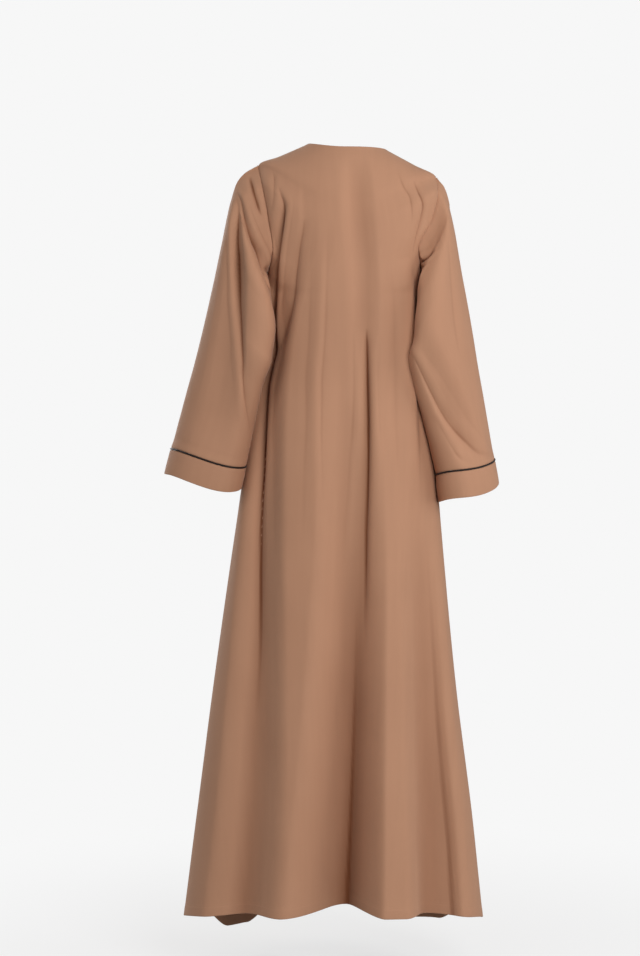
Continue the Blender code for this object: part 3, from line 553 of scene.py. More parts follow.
def trough_depth(rows: tuple, points: Array, profile: Callable[[Array], Array]) -> Array:
    """Depth of one trough that runs down the cloth, at each point.

    Args:
        rows: Its rows under TROUGH_COLUMNS. Where the depths are below 0, it is a ridge.
        points: Points of the cloth.
        profile: The share of its depth at a share of its run, measured square to its course.

    Returns:
        The depth.
    """
    table = Table(TROUGH_COLUMNS, rows)
    down, step = -points[..., 2], 0.004
    at = table.at(down)
    slope = (table.at(down + step)["x"] - table.at(down - step)["x"]) / (2 * step)
    offset = (points[..., 0] - at["x"]) / np.sqrt(1 + slope**2)
    share = np.abs(offset) / np.where(offset > 0, at["left_run"], at["right_run"])
    sign = np.sign(sum(row[2] for row in rows))
    return sign * np.maximum(sign * at["depth"], 0) * profile(share)


def creases_depth(creases: dict[str, tuple], points: Array) -> Array:
    """Depth of all the creases of a piece at each point. The soft ones have round bottoms, and the others a V."""
    profiles = {name: round_bottomed if name in SOFT_CREASES else v_bottomed for name in creases}
    return sum(trough_depth(rows, points, profiles[name]) for name, rows in creases.items())


class Hand(Enum):
    """The wearer's left or right. The value is the sign of x on that side."""

    LEFT = 1
    RIGHT = -1

    @property
    def word(self) -> str:
        """left or right."""
        return self.name.lower()


@dataclass
class BodyForm:
    """The back or the front of the body as one surface from side seam to side seam."""

    levels: dict[str, tuple]
    folds: dict[str, tuple]
    dips: dict[str, tuple]

    def table(self) -> Table:
        """Its levels."""
        return Table(LEVEL_COLUMNS, tuple(self.levels.values()))

    def outward(self, normals: Array, grid: Array) -> Array:
        """The normals, turned to point away from the body's axis."""
        away = (normals[..., :2] * grid[..., :2]).sum(axis=-1).mean()
        return normals * (-1 if away < 0 else 1)

    def plain(self, rows: Array, columns: int) -> tuple[Array, Array, Array]:
        """The form without its folds. Each row is a part of an ellipse: x goes by the sine of its angle and y by
        the cosine, and z leaves the centre's height for the side's by a power of the share.

        Args:
            rows: Rows at which it is worked out.
            columns: Points along each row, from the wearer's right side to the left.

        Returns:
            Points [row][column], outward normals, and each column's share of the way from the centre to the side.
        """
        at = self.table().down_grid(rows)
        share = np.linspace(-1, 1, columns)[None, :]
        side_x, side_y, side_z, turn = (
            np.where(share > 0, at["left_" + size], at["right_" + size]) for size in ("x", "y", "z", "turn")
        )
        turn = np.radians(turn)
        sign, share = np.sign(share), np.abs(share)
        angle, bend = turn * share, at["side_bend"]
        x = at["centre_x"] + sign * (side_x - sign * at["centre_x"]) * np.sin(angle) / np.sin(turn)
        y = side_y + (at["centre_y"] - side_y) * (np.cos(angle) - np.cos(turn)) / (1 - np.cos(turn))
        z_share = share**bend * (1 + at["side_round"] * bend * (1 - share))
        grid = np.stack([x, y, at["centre_z"] + (side_z - at["centre_z"]) * z_share], axis=2)
        dips = np.array(list(self.dips.values())).reshape(-1, 3).T / MM_PER_METRE
        drop = (dips[1] * smoothstep(DIP_EDGE * (1 - np.abs(grid[..., :1] - dips[0]) / dips[2]))).sum(axis=-1)
        grid[..., 2] -= drop * smoothstep((rows - DIP_ROW) / (HEM_ROW - DIP_ROW))[:, None]
        return grid, self.outward(grid_normals(grid), grid), share

    def folded(self, rows: Array, columns: int) -> tuple[Array, Array]:
        """The form with its folds pressed in along its normals, which fade out beside its seams and lift the hem.

        Args:
            rows: Rows at which it is worked out.
            columns: Points along each row.

        Returns:
            Points [row][column] and outward normals.
        """
        grid, normals, share = self.plain(rows, columns)
        depth = sum(trough_depth(rows, grid, round_bottomed) for rows in self.folds.values())
        depth = (depth * smoothstep((1 - share) / SEAM_CALM))[..., None]
        grid = grid - depth * normals
        grid[..., 2:] += HEM_LIFT * depth
        return grid, self.outward(grid_normals(grid), grid)

    def centre_line(self, rows: Array) -> Array:
        """x of the middle of each row."""
        return self.table().at(rows)["centre_x"]


def sunk_share(outer: Array, outwards: Array, closed: bool) -> Array:
    """How deep each point of a cloth lies in a fold that crosses its row, from 0 to 1.

    Args:
        outer: The cloth's outer points.
        outwards: Their unit normals.
        closed: Whether a row goes on from its last column to its first.

    Returns:
        How far the point lies below the middle of the two that are one reach away from it along its row, as a share
        of that reach and of HOLLOW_FULL: over the first reach, or averaged over the others where that is more.
    """
    columns = outer.shape[1]
    step = runs_along(outer, 1)[:, -1].mean() / (columns - 1)
    place, shares = np.arange(columns), []
    for reach, full in zip(HOLLOW_REACHES, HOLLOW_FULL):
        count = max(1, round(reach / step))
        if closed:
            before, after = outer[:, (place - count) % columns], outer[:, (place + count) % columns]
        else:
            span = np.minimum(np.minimum(place, columns - 1 - place), count)
            before, after = outer[:, place - span], outer[:, place + span]
        below = (((before + after) / 2 - outer) * outwards).sum(axis=2)
        shares.append(np.clip(below / (count * step * full), 0, 1))
    return np.maximum(shares[0], sum(shares[1:]) / (len(shares) - 1))


def hollow_share(outer: Array, inner: Array, closed: bool) -> Array:
    """How deep in a fold each point of a cloth lies: across its rows, and on a tube along it too. This is the mask of
    the shade painted into the cloth's colour.

    Args:
        outer: The cloth's outer points.
        inner: Its inner points.
        closed: Whether it is a tube.

    Returns:
        The shares [row][column].
    """
    outwards = unit(outer - inner)
    across = sunk_share(outer, outwards, closed)
    if not closed:
        return across
    return np.maximum(across, sunk_share(outer.swapaxes(0, 1), outwards.swapaxes(0, 1), False).T)


def placed(name: str, data: bpy.types.ID) -> bpy.types.Object:
    """A new object in the scene.

    Args:
        name: Its name.
        data: Its mesh, light or camera.

    Returns:
        The object, at the origin.
    """
    item = bpy.data.objects.new(name, data)
    bpy.context.scene.collection.objects.link(item)
    return item


def new_piece(
    name: str, points: Array, faces: Array, corner_uv: Array, hollow: Array, material: bpy.types.Material
) -> bpy.types.Object:
    """A smooth mesh object of four-sided faces, turned to point outwards.

    Args:
        name: The object's name.
        points: Its vertices.
        faces: Four vertex numbers a face.
        corner_uv: The cloth's own coordinates in metres at each face's corners.
        hollow: How deep in a fold its first vertices lie; the others don't lie in one.
        material: Its material.

    Returns:
        The object, at the origin.
    """
    a, b, c, d = (points[faces[:, k]] for k in range(4))
    volume = (np.cross(a, b) * c).sum() + (np.cross(a, c) * d).sum()
    if volume < 0:
        faces, corner_uv = faces[:, ::-1], corner_uv[:, ::-1]
    mesh = bpy.data.meshes.new(name)
    mesh.vertices.add(len(points))
    mesh.vertices.foreach_set("co", points.astype(np.float32).ravel())
    mesh.loops.add(faces.size)
    mesh.loops.foreach_set("vertex_index", np.ascontiguousarray(faces, np.int32).ravel())
    mesh.polygons.add(len(faces))
    mesh.polygons.foreach_set("loop_start", np.arange(0, faces.size, 4, dtype=np.int32))
    mesh.update(calc_edges=True)
    layer = mesh.uv_layers.new(name="cloth")
    layer.data.foreach_set("uv", np.ascontiguousarray(corner_uv, np.float32).ravel())
    # The fold mask, kept as an attribute by which the material paints shade into the cloth's colour in its folds
    depth = np.zeros(len(points), np.float32)
    depth[: hollow.size] = hollow.ravel()
    mesh.attributes.new("hollow", "FLOAT", "POINT").data.foreach_set("value", depth)
    mesh.shade_smooth()
    mesh.materials.append(material)
    mesh.validate()
    return placed(name, mesh)


def patch(index: Array, uv: Array) -> tuple[Array, Array]:
    """Faces between the neighbours of a grid of vertex numbers, and the uv at their corners."""
    cells = lambda grid: np.stack([grid[:-1, :-1], grid[1:, :-1], grid[1:, 1:], grid[:-1, 1:]], axis=2)
    return cells(index).reshape(-1, 4), cells(uv).reshape(-1, 4, 2)


@dataclass
class Shell:
    """A closed cloth wall between an outer and an inner grid, with its edges turned over in a half round."""

    name: str
    outer: Array
    inner: Array
    rim_steps: int = 4

    def cloth_uv(self, grid: Array, closed: bool) -> Array:
        """Each point's place on the cloth in metres: across from the middle column, and down.

        Args:
            grid: Points [row][column].
            closed: Whether it is a tube.

        Returns:
            The places, with one more column on a tube.
        """
        grid = wrapped(grid, 1) if closed else grid
        across, down = runs_along(grid, 1), runs_along(grid, 0)
        middle = across[:, [across.shape[1] // 2]]
        return np.stack([across - middle, -down], axis=2)

    def rims(self, outer: Array, inner: Array, away: Array, bulge: Array) -> Array:
        """Points of a half-round edge between two lines: each goes from the outer to the inner by the cosine of its
        angle, and bulges away from the cloth by the sine.

        Args:
            outer: The outer line.
            inner: The inner line.
            away: Unit directions off the cloth.
            bulge: How far the edge rounds out.

        Returns:
            The points between the two lines, [step][point].
        """
        angle = np.pi * np.arange(1, self.rim_steps)[:, None, None] / self.rim_steps
        middle, half = (outer + inner) / 2, (outer - inner) / 2
        return middle + half * np.cos(angle) + away * bulge * np.sin(angle)

    def panel(self, material: bpy.types.Material, bulge: tuple[float, float, float, float]) -> bpy.types.Object:
        """An open panel: two grids and one rim all round.

        Args:
            material: Its material.
            bulge: How far its first row, last column, last row and first column round out.

        Returns:
            The piece.
        """
        rows, columns = self.outer.shape[:2]
        index = np.arange(rows * columns).reshape(rows, columns)
        loop = np.concatenate([index[0, :-1], index[:-1, -1], index[-1, :0:-1], index[:0:-1, 0]])
        flat_outer, flat_inner = self.outer.reshape(-1, 3), self.inner.reshape(-1, 3)
        step_in = np.gradient(self.outer, axis=0), np.gradient(self.outer, axis=1)
        down, along = (unit(step).reshape(-1, 3) for step in step_in)
        side = np.repeat(np.arange(4), [columns - 1, rows - 1] * 2)[:, None]
        away = np.select([side == 0, side == 1, side == 2], [-down[loop], along[loop], down[loop]], -along[loop])
        rim = self.rims(flat_outer[loop], flat_inner[loop], away, np.array(bulge)[side])
        total = rows * columns
        rim_index = 2 * total + np.arange(rim.shape[0] * len(loop)).reshape(rim.shape[0], -1)
        band = wrapped(np.concatenate([loop[None], rim_index, loop[None] + total]), 1)
        uv = self.cloth_uv(self.outer, closed=False)
        band_uv = wrapped(np.repeat(uv.reshape(-1, 2)[loop][None], len(band), axis=0), 1)
        parts = [patch(index, uv), patch((index + total)[:, ::-1], uv[:, ::-1]), patch(band[::-1], band_uv[::-1])]
        faces, corners = (np.concatenate(kind) for kind in zip(*parts))
        points = np.concatenate([flat_outer, flat_inner, rim.reshape(-1, 3)])
        return new_piece(self.name, points, faces, corners, hollow_share(self.outer, self.inner, False), material)

    def tube(self, material: bpy.types.Material, bulge: tuple[float, float]) -> bpy.types.Object:
        """A tube of cloth, whose grid goes on from its last column to its first. Its section is one closed line: down
        the outer grid, round the lower edge, up the inner grid and round the upper edge.

        Args:
            material: Its material.
            bulge: How far its first and last rows round out.

        Returns:
            The piece.
        """
        lower = self.rims(self.outer[-1], self.inner[-1], unit(self.outer[-1] - self.outer[-2]), bulge[1])
        upper = self.rims(self.inner[0], self.outer[0], unit(self.outer[0] - self.outer[1]), bulge[0])
        section = np.concatenate([self.outer, lower, self.inner[::-1], upper])
        rows, columns = section.shape[:2]
        index = wrapped(np.arange(rows * columns).reshape(rows, columns), 0, 1)
        outer_uv = self.cloth_uv(self.outer, closed=True)
        steps = self.rim_steps - 1
        uv = np.concatenate([
            outer_uv,
            np.repeat(outer_uv[-1:], steps, axis=0),
            outer_uv[::-1],
            np.repeat(outer_uv[:1], steps + 1, axis=0),
        ])
        faces, corners = patch(index, uv)
        hollow = hollow_share(self.outer, self.inner, True)
        return new_piece(self.name, section.reshape(-1, 3), faces, corners, hollow, material)


@dataclass
class NodeDrawer:
    """Adds shader nodes to a material's or a group's tree, and links them."""

    tree: bpy.types.NodeTree

    def add(self, kind: str, values: dict | None = None, **settings: object) -> bpy.types.Node:
        """A new node.

        Args:
            kind: Its type, without the ShaderNode that it starts with.
            values: Its inputs by name or number. A socket is linked, and anything else is its value.
            **settings: Its own settings.

        Returns:
            The node.
        """
        node = self.tree.nodes.new("ShaderNode" + kind)
        for name, value in settings.items():
            setattr(node, name, value)
        return self.fill(node, values or {})

    def fill(self, node: bpy.types.Node, values: dict) -> bpy.types.Node:
        """Links or sets a node's inputs.

        Args:
            node: The node.
            values: Its inputs, as add takes them.

        Returns:
            The node.
        """
        for name, value in values.items():
            if isinstance(value, bpy.types.NodeSocket):
                self.tree.links.new(value, node.inputs[name])
            else:
                node.inputs[name].default_value = value
        return node

    def finished(self, outputs: dict[str, bpy.types.NodeSocket]) -> bpy.types.NodeTree:
        """Links what a group gives out, and returns the group."""
        self.fill(self.tree.nodes.new("NodeGroupOutput"), outputs)
        return self.tree

    def maths(self, operation: str, first: object, second: object = 0.0) -> bpy.types.NodeSocket:
        """The result of a Math node."""
        return self.add("Math", {0: first, 1: second}, operation=operation).outputs[0]


def new_group(
    name: str, inputs: dict[str, tuple], outputs: dict[str, str]
) -> tuple[NodeDrawer, bpy.types.bpy_prop_collection]:
    """A shader node group with named sockets.

    Args:
        name: Its name.
        inputs: The type and the value of each input; a vector's value is None.
        outputs: The type of each output.

    Returns:
        What draws in it, and the sockets of what it is given.
    """
    group = bpy.data.node_groups.new(name, "ShaderNodeTree")
    for title, (kind, value) in inputs.items():
        socket = group.interface.new_socket(title, in_out="INPUT", socket_type="NodeSocket" + kind)
        if value is not None:
            socket.default_value = value
    for title, kind in outputs.items():
        group.interface.new_socket(title, in_out="OUTPUT", socket_type="NodeSocket" + kind)
    return NodeDrawer(group), group.nodes.new("NodeGroupInput").outputs


PEBBLE_GRAIN = 0.62  # how many pebbles there are to a thread
STREAK_STRETCH, STREAK_SHARE = 0.06, 0.35  # how long the tone's streaks are drawn, and their part in the tone


def crepe_weave_group() -> bpy.types.NodeTree:
    """Height of a crepe: a plain weave of warp and weft waves, broken up by twisted-yarn pebbles.

    Returns:
        The group.
    """
    draw, given = new_group(
        "crepe_weave",
        {"Vector": ("Vector", None), "Threads": ("Float", 1500.0), "Pebble": ("Float", 0.6)},
        {"Height": "Float", "Pebbles": "Float"},
    )
    place = draw.add("SeparateXYZ", {0: given["Vector"]}).outputs
    turns = draw.maths("MULTIPLY", given["Threads"], 2 * np.pi)
    warp, weft = (draw.maths("SINE", draw.maths("MULTIPLY", place[axis], turns)) for axis in "XY")
    weave = draw.maths("MULTIPLY_ADD", draw.maths("MULTIPLY", warp, weft), 0.5)
    weave.node.inputs[2].default_value = 0.5
    grain = draw.maths("MULTIPLY", given["Threads"], PEBBLE_GRAIN)
    pebbles = draw.add("TexNoise", {"Vector": given["Vector"], "Scale": grain, "Detail": 2.0}).outputs["Fac"]
    height = draw.add("Mix", {"Factor": given["Pebble"], "A": weave, "B": pebbles}).outputs["Result"]
    return draw.finished({"Height": height, "Pebbles": pebbles})


def cloth_tone_group() -> bpy.types.NodeTree:
    """A soft tone of the cloth from 0 to 1: broad patches with fine streaks that run down it.

    Returns:
        The group.
    """
    draw, given = new_group(
        "cloth_tone",
        {"Vector": ("Vector", None), "Patches": ("Float", 7.0), "Streaks": ("Float", 90.0)},
        {"Tone": "Float"},
    )
    patches = draw.add("TexNoise", {"Vector": given["Vector"], "Scale": given["Patches"], "Detail": 3.0})
    pulled = draw.add("VectorMath", {0: given["Vector"], 1: (1.0, STREAK_STRETCH, 1.0)}, operation="MULTIPLY")
    streaks = draw.add("TexNoise", {"Vector": pulled.outputs[0], "Scale": given["Streaks"], "Detail": 2.0})
    tone = draw.add("Mix", {"Factor": STREAK_SHARE, "A": patches.outputs["Fac"], "B": streaks.outputs["Fac"]})
    return draw.finished({"Tone": tone.outputs["Result"]})


def fold_shade_group() -> bpy.types.NodeTree:
    """Painted shade: the cloth's colour multiplied towards a deeper, warmer colour as far as the fold mask reaches,
    standing in for the shade in its folds and the light that the cloth opposite bounces into them. deeper and warmer.

    Returns:
        The group.
    """
    draw, given = new_group(
        "fold_shade",
        {"Color": ("Color", None), "Hollow": ("Float", 0.0), "Shade": ("Color", WHITE)},
        {"Color": "Color"},
    )
    sockets = {"Factor": given["Hollow"], "A": given["Color"], "B": given["Shade"]}
    shade = draw.add("Mix", sockets, data_type="RGBA", blend_type="MULTIPLY")
    return draw.finished({"Color": shade.outputs["Result"]})


@dataclass(frozen=True)
class ClothFinish:
    """A dyed cloth: its colours, its gloss, its weave, how much its tone varies and the shade painted into its folds.
    """

    name: str
    slot: str
    light: tuple[float, float, float]
    deep: tuple[float, float, float]
    roughness: tuple[float, float]
    sheen: float
    sheen_tint: tuple[float, float, float]
    threads: float
    pebble: float
    relief: float
    # the colour that the cloth's colour is multiplied by in its folds: painted shade
    fold_shade: tuple[float, float, float] = (0.8, 0.7, 0.6)
    tone_range: tuple[float, float] = (0.42, 0.84)  # of the tone, over which the colours change
    pebble_tone: float = 0.25  # how much of the weave's pebbles shows in the tone
    relief_depth: float = 0.0004
    sheen_roughness: float = 0.45
    specular: float = 0.28

    def material(
        self, weave: bpy.types.NodeTree, tone: bpy.types.NodeTree, fold: bpy.types.NodeTree
    ) -> bpy.types.Material:
        """The material: the tone mixes the two colours and the two roughnesses, the weave is its bump, and shade is
        painted into its colour in the folds.

        Args:
            weave: The weave's node group.
            tone: The tone's node group.
            fold: The node group that paints shade into the folds.

        Returns:
            The material.
        """
        material = bpy.data.materials.new(self.name)
        material.use_nodes = True
        draw = NodeDrawer(material.node_tree)
        place = draw.add("UVMap", uv_map="cloth").outputs["UV"]
        threads = {"Vector": place, "Threads": self.threads, "Pebble": self.pebble}
        cloth = draw.add("Group", threads, node_tree=weave).outputs
        toned = draw.add("Group", {"Vector": place}, node_tree=tone).outputs["Tone"]
        amount = draw.maths("ADD", toned, draw.maths("MULTIPLY", cloth["Pebbles"], self.pebble_tone))
        share = draw.add("MapRange", {0: amount, 1: self.tone_range[0], 2: self.tone_range[1]}).outputs[0]
        ends = {"Factor": share, "A": (*self.deep, 1.0), "B": (*self.light, 1.0)}
        colour = draw.add("Mix", ends, data_type="RGBA").outputs["Result"]
        rough = draw.add("MapRange", {0: share, 3: self.roughness[0], 4: self.roughness[1]}).outputs[0]
        relief = {"Height": cloth["Height"], "Strength": self.relief, "Distance": self.relief_depth}
        # Painted shade: the fold mask darkens and warms the base colour in the folds and at the seams
        hollow = draw.add("Attribute", attribute_name="hollow").outputs["Fac"]
        shade = {"Color": colour, "Hollow": hollow, "Shade": (*self.fold_shade, 1.0)}
        surface = {
            "Base Color": draw.add("Group", shade, node_tree=fold).outputs["Color"],
            "Roughness": rough,
            "Normal": draw.add("Bump", relief).outputs["Normal"],
            "Sheen Weight": self.sheen,
            "Sheen Roughness": self.sheen_roughness,
            "Sheen Tint": (*self.sheen_tint, 1.0),
            "Specular IOR Level": self.specular,
        }
        draw.fill(material.node_tree.nodes["Principled BSDF"], surface)
        return material


CREPE = ClothFinish(
    name="tan_crepe_cloth",
    slot="tan_crepe",
    light=(0.500, 0.262, 0.158),
    deep=(0.464, 0.238, 0.141),
    roughness=(0.74, 0.86),
    sheen=0.16,
    sheen_tint=(1.0, 0.86, 0.74),
    threads=1500.0,
    pebble=0.62,
    relief=0.22,
    # the colour of the shade painted into the crepe's folds
    fold_shade=(0.36, 0.22, 0.13),
)
DARK_PIPING = ClothFinish(
    name="dark_piping_cloth",
    slot="dark_piping",
    light=(0.020, 0.010, 0.008),
    deep=(0.010, 0.006, 0.005),
    roughness=(0.50, 0.66),
    sheen=0.10,
    sheen_tint=(1.0, 0.9, 0.85),
    threads=2600.0,
    pebble=0.3,
    relief=0.3,
)


@dataclass
class ClothPiece:
    """A cut piece of cloth on its form: the solid that it stands for, its cut, and its wall."""

    node: str
    flat: tuple[float, float]
    area: float
    outer: Array
    normals: Array
    thickness: Array | float

    def shell(self, rim_steps: int = 4) -> Shell:
        """Its wall, from its outer points to as far inside them as it is thick."""
        return Shell(f"{self.node}_cloth", self.outer, self.outer - self.thickness * self.normals, rim_steps)

    def declare(self, piece: bpy.types.Object) -> None:
        """Puts the piece on the garment's body in its solid's place, hides that solid, and logs the piece's faces and
        its area of cloth.

        Args:
            piece: Its object.
        """
        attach(piece, "root")
        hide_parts(self.node)
        grid_area = cell_area(self.outer)
        log.info("%s: %d faces, %.3f square metres of cloth", piece.name, len(piece.data.polygons), grid_area)


def cell_area(grid: Array) -> float:
    """Area of an open grid, by half the cross product of each cell's diagonals."""
    diagonals = grid[1:, 1:] - grid[:-1, :-1], grid[1:, :-1] - grid[:-1, 1:]
    return float(np.linalg.norm(np.cross(*diagonals), axis=-1).sum() / 2)


def turned_edge(distance: Array, width: float, stitch: float) -> tuple[Array, Array]:
    """A turned edge: how far it stands proud of the cloth, and how much of it is doubled, at a distance from it."""
    doubled = 1 - smoothstep((distance - width) / TURN_FADE + 0.5)
    return TURN_PROUD * doubled - STITCH_SINK * bell(distance - stitch, STITCH_SINK_RUN), doubled


@dataclass
class Body:
    """The back and the two fronts."""

    back: BodyForm
    front: BodyForm
    crepe: bpy.types.Material

    def rows(self) -> Array:
        """The fine rows: closer together at the neckline and at the hem's turning.

        Returns:
            The rows' numbers.
        """
        neck = TIP_ROW * np.linspace(0, 1, NECK_ROWS + 1)[:-1] ** NECK_GRADING
        armhole = np.linspace(TIP_ROW, UNDERARM_ROW, ARMHOLE_ROWS + 1)[:-1]
        down = np.linspace(0, 1, SKIRT_ROWS + 1)[:-1] ** SKIRT_GRADING
        skirt = UNDERARM_ROW + (HEM_TURN_ROW - UNDERARM_ROW) * down
        return np.concatenate([neck, armhole, skirt, np.linspace(HEM_TURN_ROW, HEM_ROW, HEM_ROWS + 1)])

    def seam_rows(self) -> Array:
        """Which rows end in a shoulder or side seam, and not in the armhole."""
        rows = self.rows()
        return (rows <= TIP_ROW) | (rows >= UNDERARM_ROW)

    def sampled(self, surface: Array, normals: Array, start: Array, stop: Array, columns: int) -> tuple[Array, Array]:
        """Points and normals of a panel, with columns closer together beside its two side edges.

        Args:
            surface: The form's points.
            normals: Its normals.
            start: How far along each row the panel starts.
            stop: How far along each row it ends.
            columns: How many columns it gets.

        Returns:
            Its points and normals.
        """
        near = np.array(EDGE_STEPS)
        share = np.linspace(0, 1, columns - 2 * len(near) + 2)[1:-1]
        start, stop = start[:, None], stop[:, None]
        middle = start + near[-1] + share * (stop - start - 2 * near[-1])
        at = np.concatenate([start + near, middle, stop - near[::-1]], axis=1)
        return resampled(surface, surface, at), unit(resampled(surface, normals, at))

    def lap_run(self, surface: Array, x: Array) -> Array:
        """How far along each row it reaches the given x. x rises along a row, so the count of the points before it
        gives the pair of points that it lies between.

        Args:
            surface: The form's points.
            x: For each row.

        Returns:
            The run on each row.
        """
        after = np.clip((surface[..., 0] < x[:, None]).sum(axis=1), 1, surface.shape[1] - 1)
        line, run = np.arange(len(surface)), runs_along(surface, 1)
        low, high = surface[line, after - 1, 0], surface[line, after, 0]
        return run[line, after - 1] + (x - low) / (high - low) * (run[line, after] - run[line, after - 1])

    def panels(self) -> dict[str, tuple[Array, Array]]:
        """The back's and the two fronts' points and normals, without creases, half a seam gap inside their seams.

        Returns:
            Points and normals under each panel's name.
        """
        rows = self.rows()
        back, front = (form.folded(rows, FINE_COLUMNS) for form in (self.back, self.front))
        half = np.full(len(rows), SEAM_GAP / 2)
        ends = {side: runs_along(surface[0], 1)[:, -1] for side, surface in (("back", back), ("front", front))}
        centre = self.front.centre_line(rows)
        left_from = self.lap_run(front[0], centre - FRONT_LAP)
        right_to = self.lap_run(front[0], centre + FRONT_LAP)
        panels = {
            "back": self.sampled(*back, half, ends["back"] - half, BACK_COLUMNS),
            "front_left": self.sampled(*front, left_from, ends["front"] - half, FRONT_COLUMNS),
            "front_right": self.sampled(*front, half, right_to, FRONT_COLUMNS),
        }
        seams = self.seam_rows()
        for name, column in (("front_left", -1), ("front_right", 0)):
            shared = unit(panels["back"][1][seams, column] + panels[name][1][seams, column])
            panels["back"][1][seams, column] = shared
            panels[name][1][seams, column] = shared
        points, normals = panels["front_left"]
        past_lap = points[..., 0] - centre[:, None] - FRONT_LAP
        drop = UNDERLAP_DROP * (1 - smoothstep(past_lap / UNDERLAP_RUN))
        panels["front_left"] = points - drop[..., None] * normals, normals
        return panels

    def dressed(
        self, name: str, points: Array, normals: Array, creases: dict[str, tuple]
    ) -> tuple[Array, Array, Array]:
        """A panel with its creases, ripples, rolled seams and turned edges.

        Args:
            name: back, front_left or front_right.
            points: Its points.
            normals: Its normals.
            creases: The creases of its side.

        Returns:
            Its points, its normals and its wall's thickness.
        """
        across, down = runs_along(points, 1), runs_along(points, 0)
        from_right, from_left = across, across[:, -1:] - across
        above_hem, below_neck = down[-1:] - down, down
        seams = [from_right, from_left] if name == "back" else [from_left if name == "front_left" else from_right]
        seam = np.minimum.reduce(seams)
        quiet = smoothstep(seam / SEAM_QUIET) * smoothstep(below_neck / SEAM_QUIET)
        height = ripple_height(points) * quiet - creases_depth(creases, points) * smoothstep(seam / CREASE_FADE)
        height -= SEAM_SINK * bell(seam, SEAM_SINK_RUN)
        edges = [(above_hem, HEM_TURN, HEM_STITCH), (below_neck, NECK_TURN, NECK_STITCH)]
        if name != "back":
            edges.append((from_right if name == "front_left" else from_left, FRONT_TURN, FRONT_STITCH))
        doubled = np.zeros_like(height)
        for distance, width, stitch in edges:
            proud, turned = turned_edge(distance, width, stitch)
            height += proud
            doubled = np.maximum(doubled, turned)
        outer = points + height[..., None] * normals
        turned_normals = grid_normals(outer)
        turned_normals *= np.sign((turned_normals * normals).sum(axis=-1).mean())
        edge = bell(seam, PLAIN_NORMALS_RUN)[..., None]
        shown = unit(turned_normals * (1 - edge) + normals * edge)
        return outer, shown, (CLOTH + (DOUBLED - CLOTH) * doubled)[..., None]

    def build(self) -> dict[str, tuple[Array, Array]]:
        """Builds the three panels.

        Returns:
            The panels' plain points and normals, which the sleeves start from.
        """
        panels = self.panels()
        for node, (points, normals) in panels.items():
            creases = BACK_CREASES if node == "back" else FRONT_CREASES
            cloth = ClothPiece(node, *CUTS[node], *self.dressed(node, points, normals, creases))
            bulge = tuple(DOUBLED / 2 if side in OPEN_SIDES[node] else SEAM_BULGE for side in range(4))
            cloth.declare(cloth.shell().panel(self.crepe, bulge))
        return panels


@dataclass
class Armhole:
    """The edge that a sleeve is set into, as a ring from the underarm over the back to the shoulder tip and down the
    front."""

    ring: Array
    normals: Array
    lead: Array

    @classmethod
    def of(cls, rows: Array, back: tuple[Array, Array], front: tuple[Array, Array], column: int) -> "Armhole":
        """The ring along the two panels' side edges, with the directions that lead off the cloth into the opening.

        Args:
            rows: The body's rows.
            back: The back's points and normals.
            front: The front's points and normals.
            column: The panels' side column.

        Returns:
            The armhole.
        """
        tip, under = int(np.searchsorted(rows, TIP_ROW)), int(np.searchsorted(rows, UNDERARM_ROW))
        ring, normals = (
            np.concatenate([
                (one[[under], column] + other[[under], column]) / 2,
                one[under - 1 : tip : -1, column],
                (one[[tip], column] + other[[tip], column]) / 2,
                other[tip + 1 : under, column],
            ])
            for one, other in zip(back, front)
        )
        tangent = unit(np.roll(ring, -1, axis=0) - np.roll(ring, 1, axis=0))
        lead = unit(np.cross(tangent, normals))
        inwards = ((ring.mean(axis=0) - ring) * lead).sum(axis=1).mean()
        return cls(ring, unit(normals), lead * np.sign(inwards))


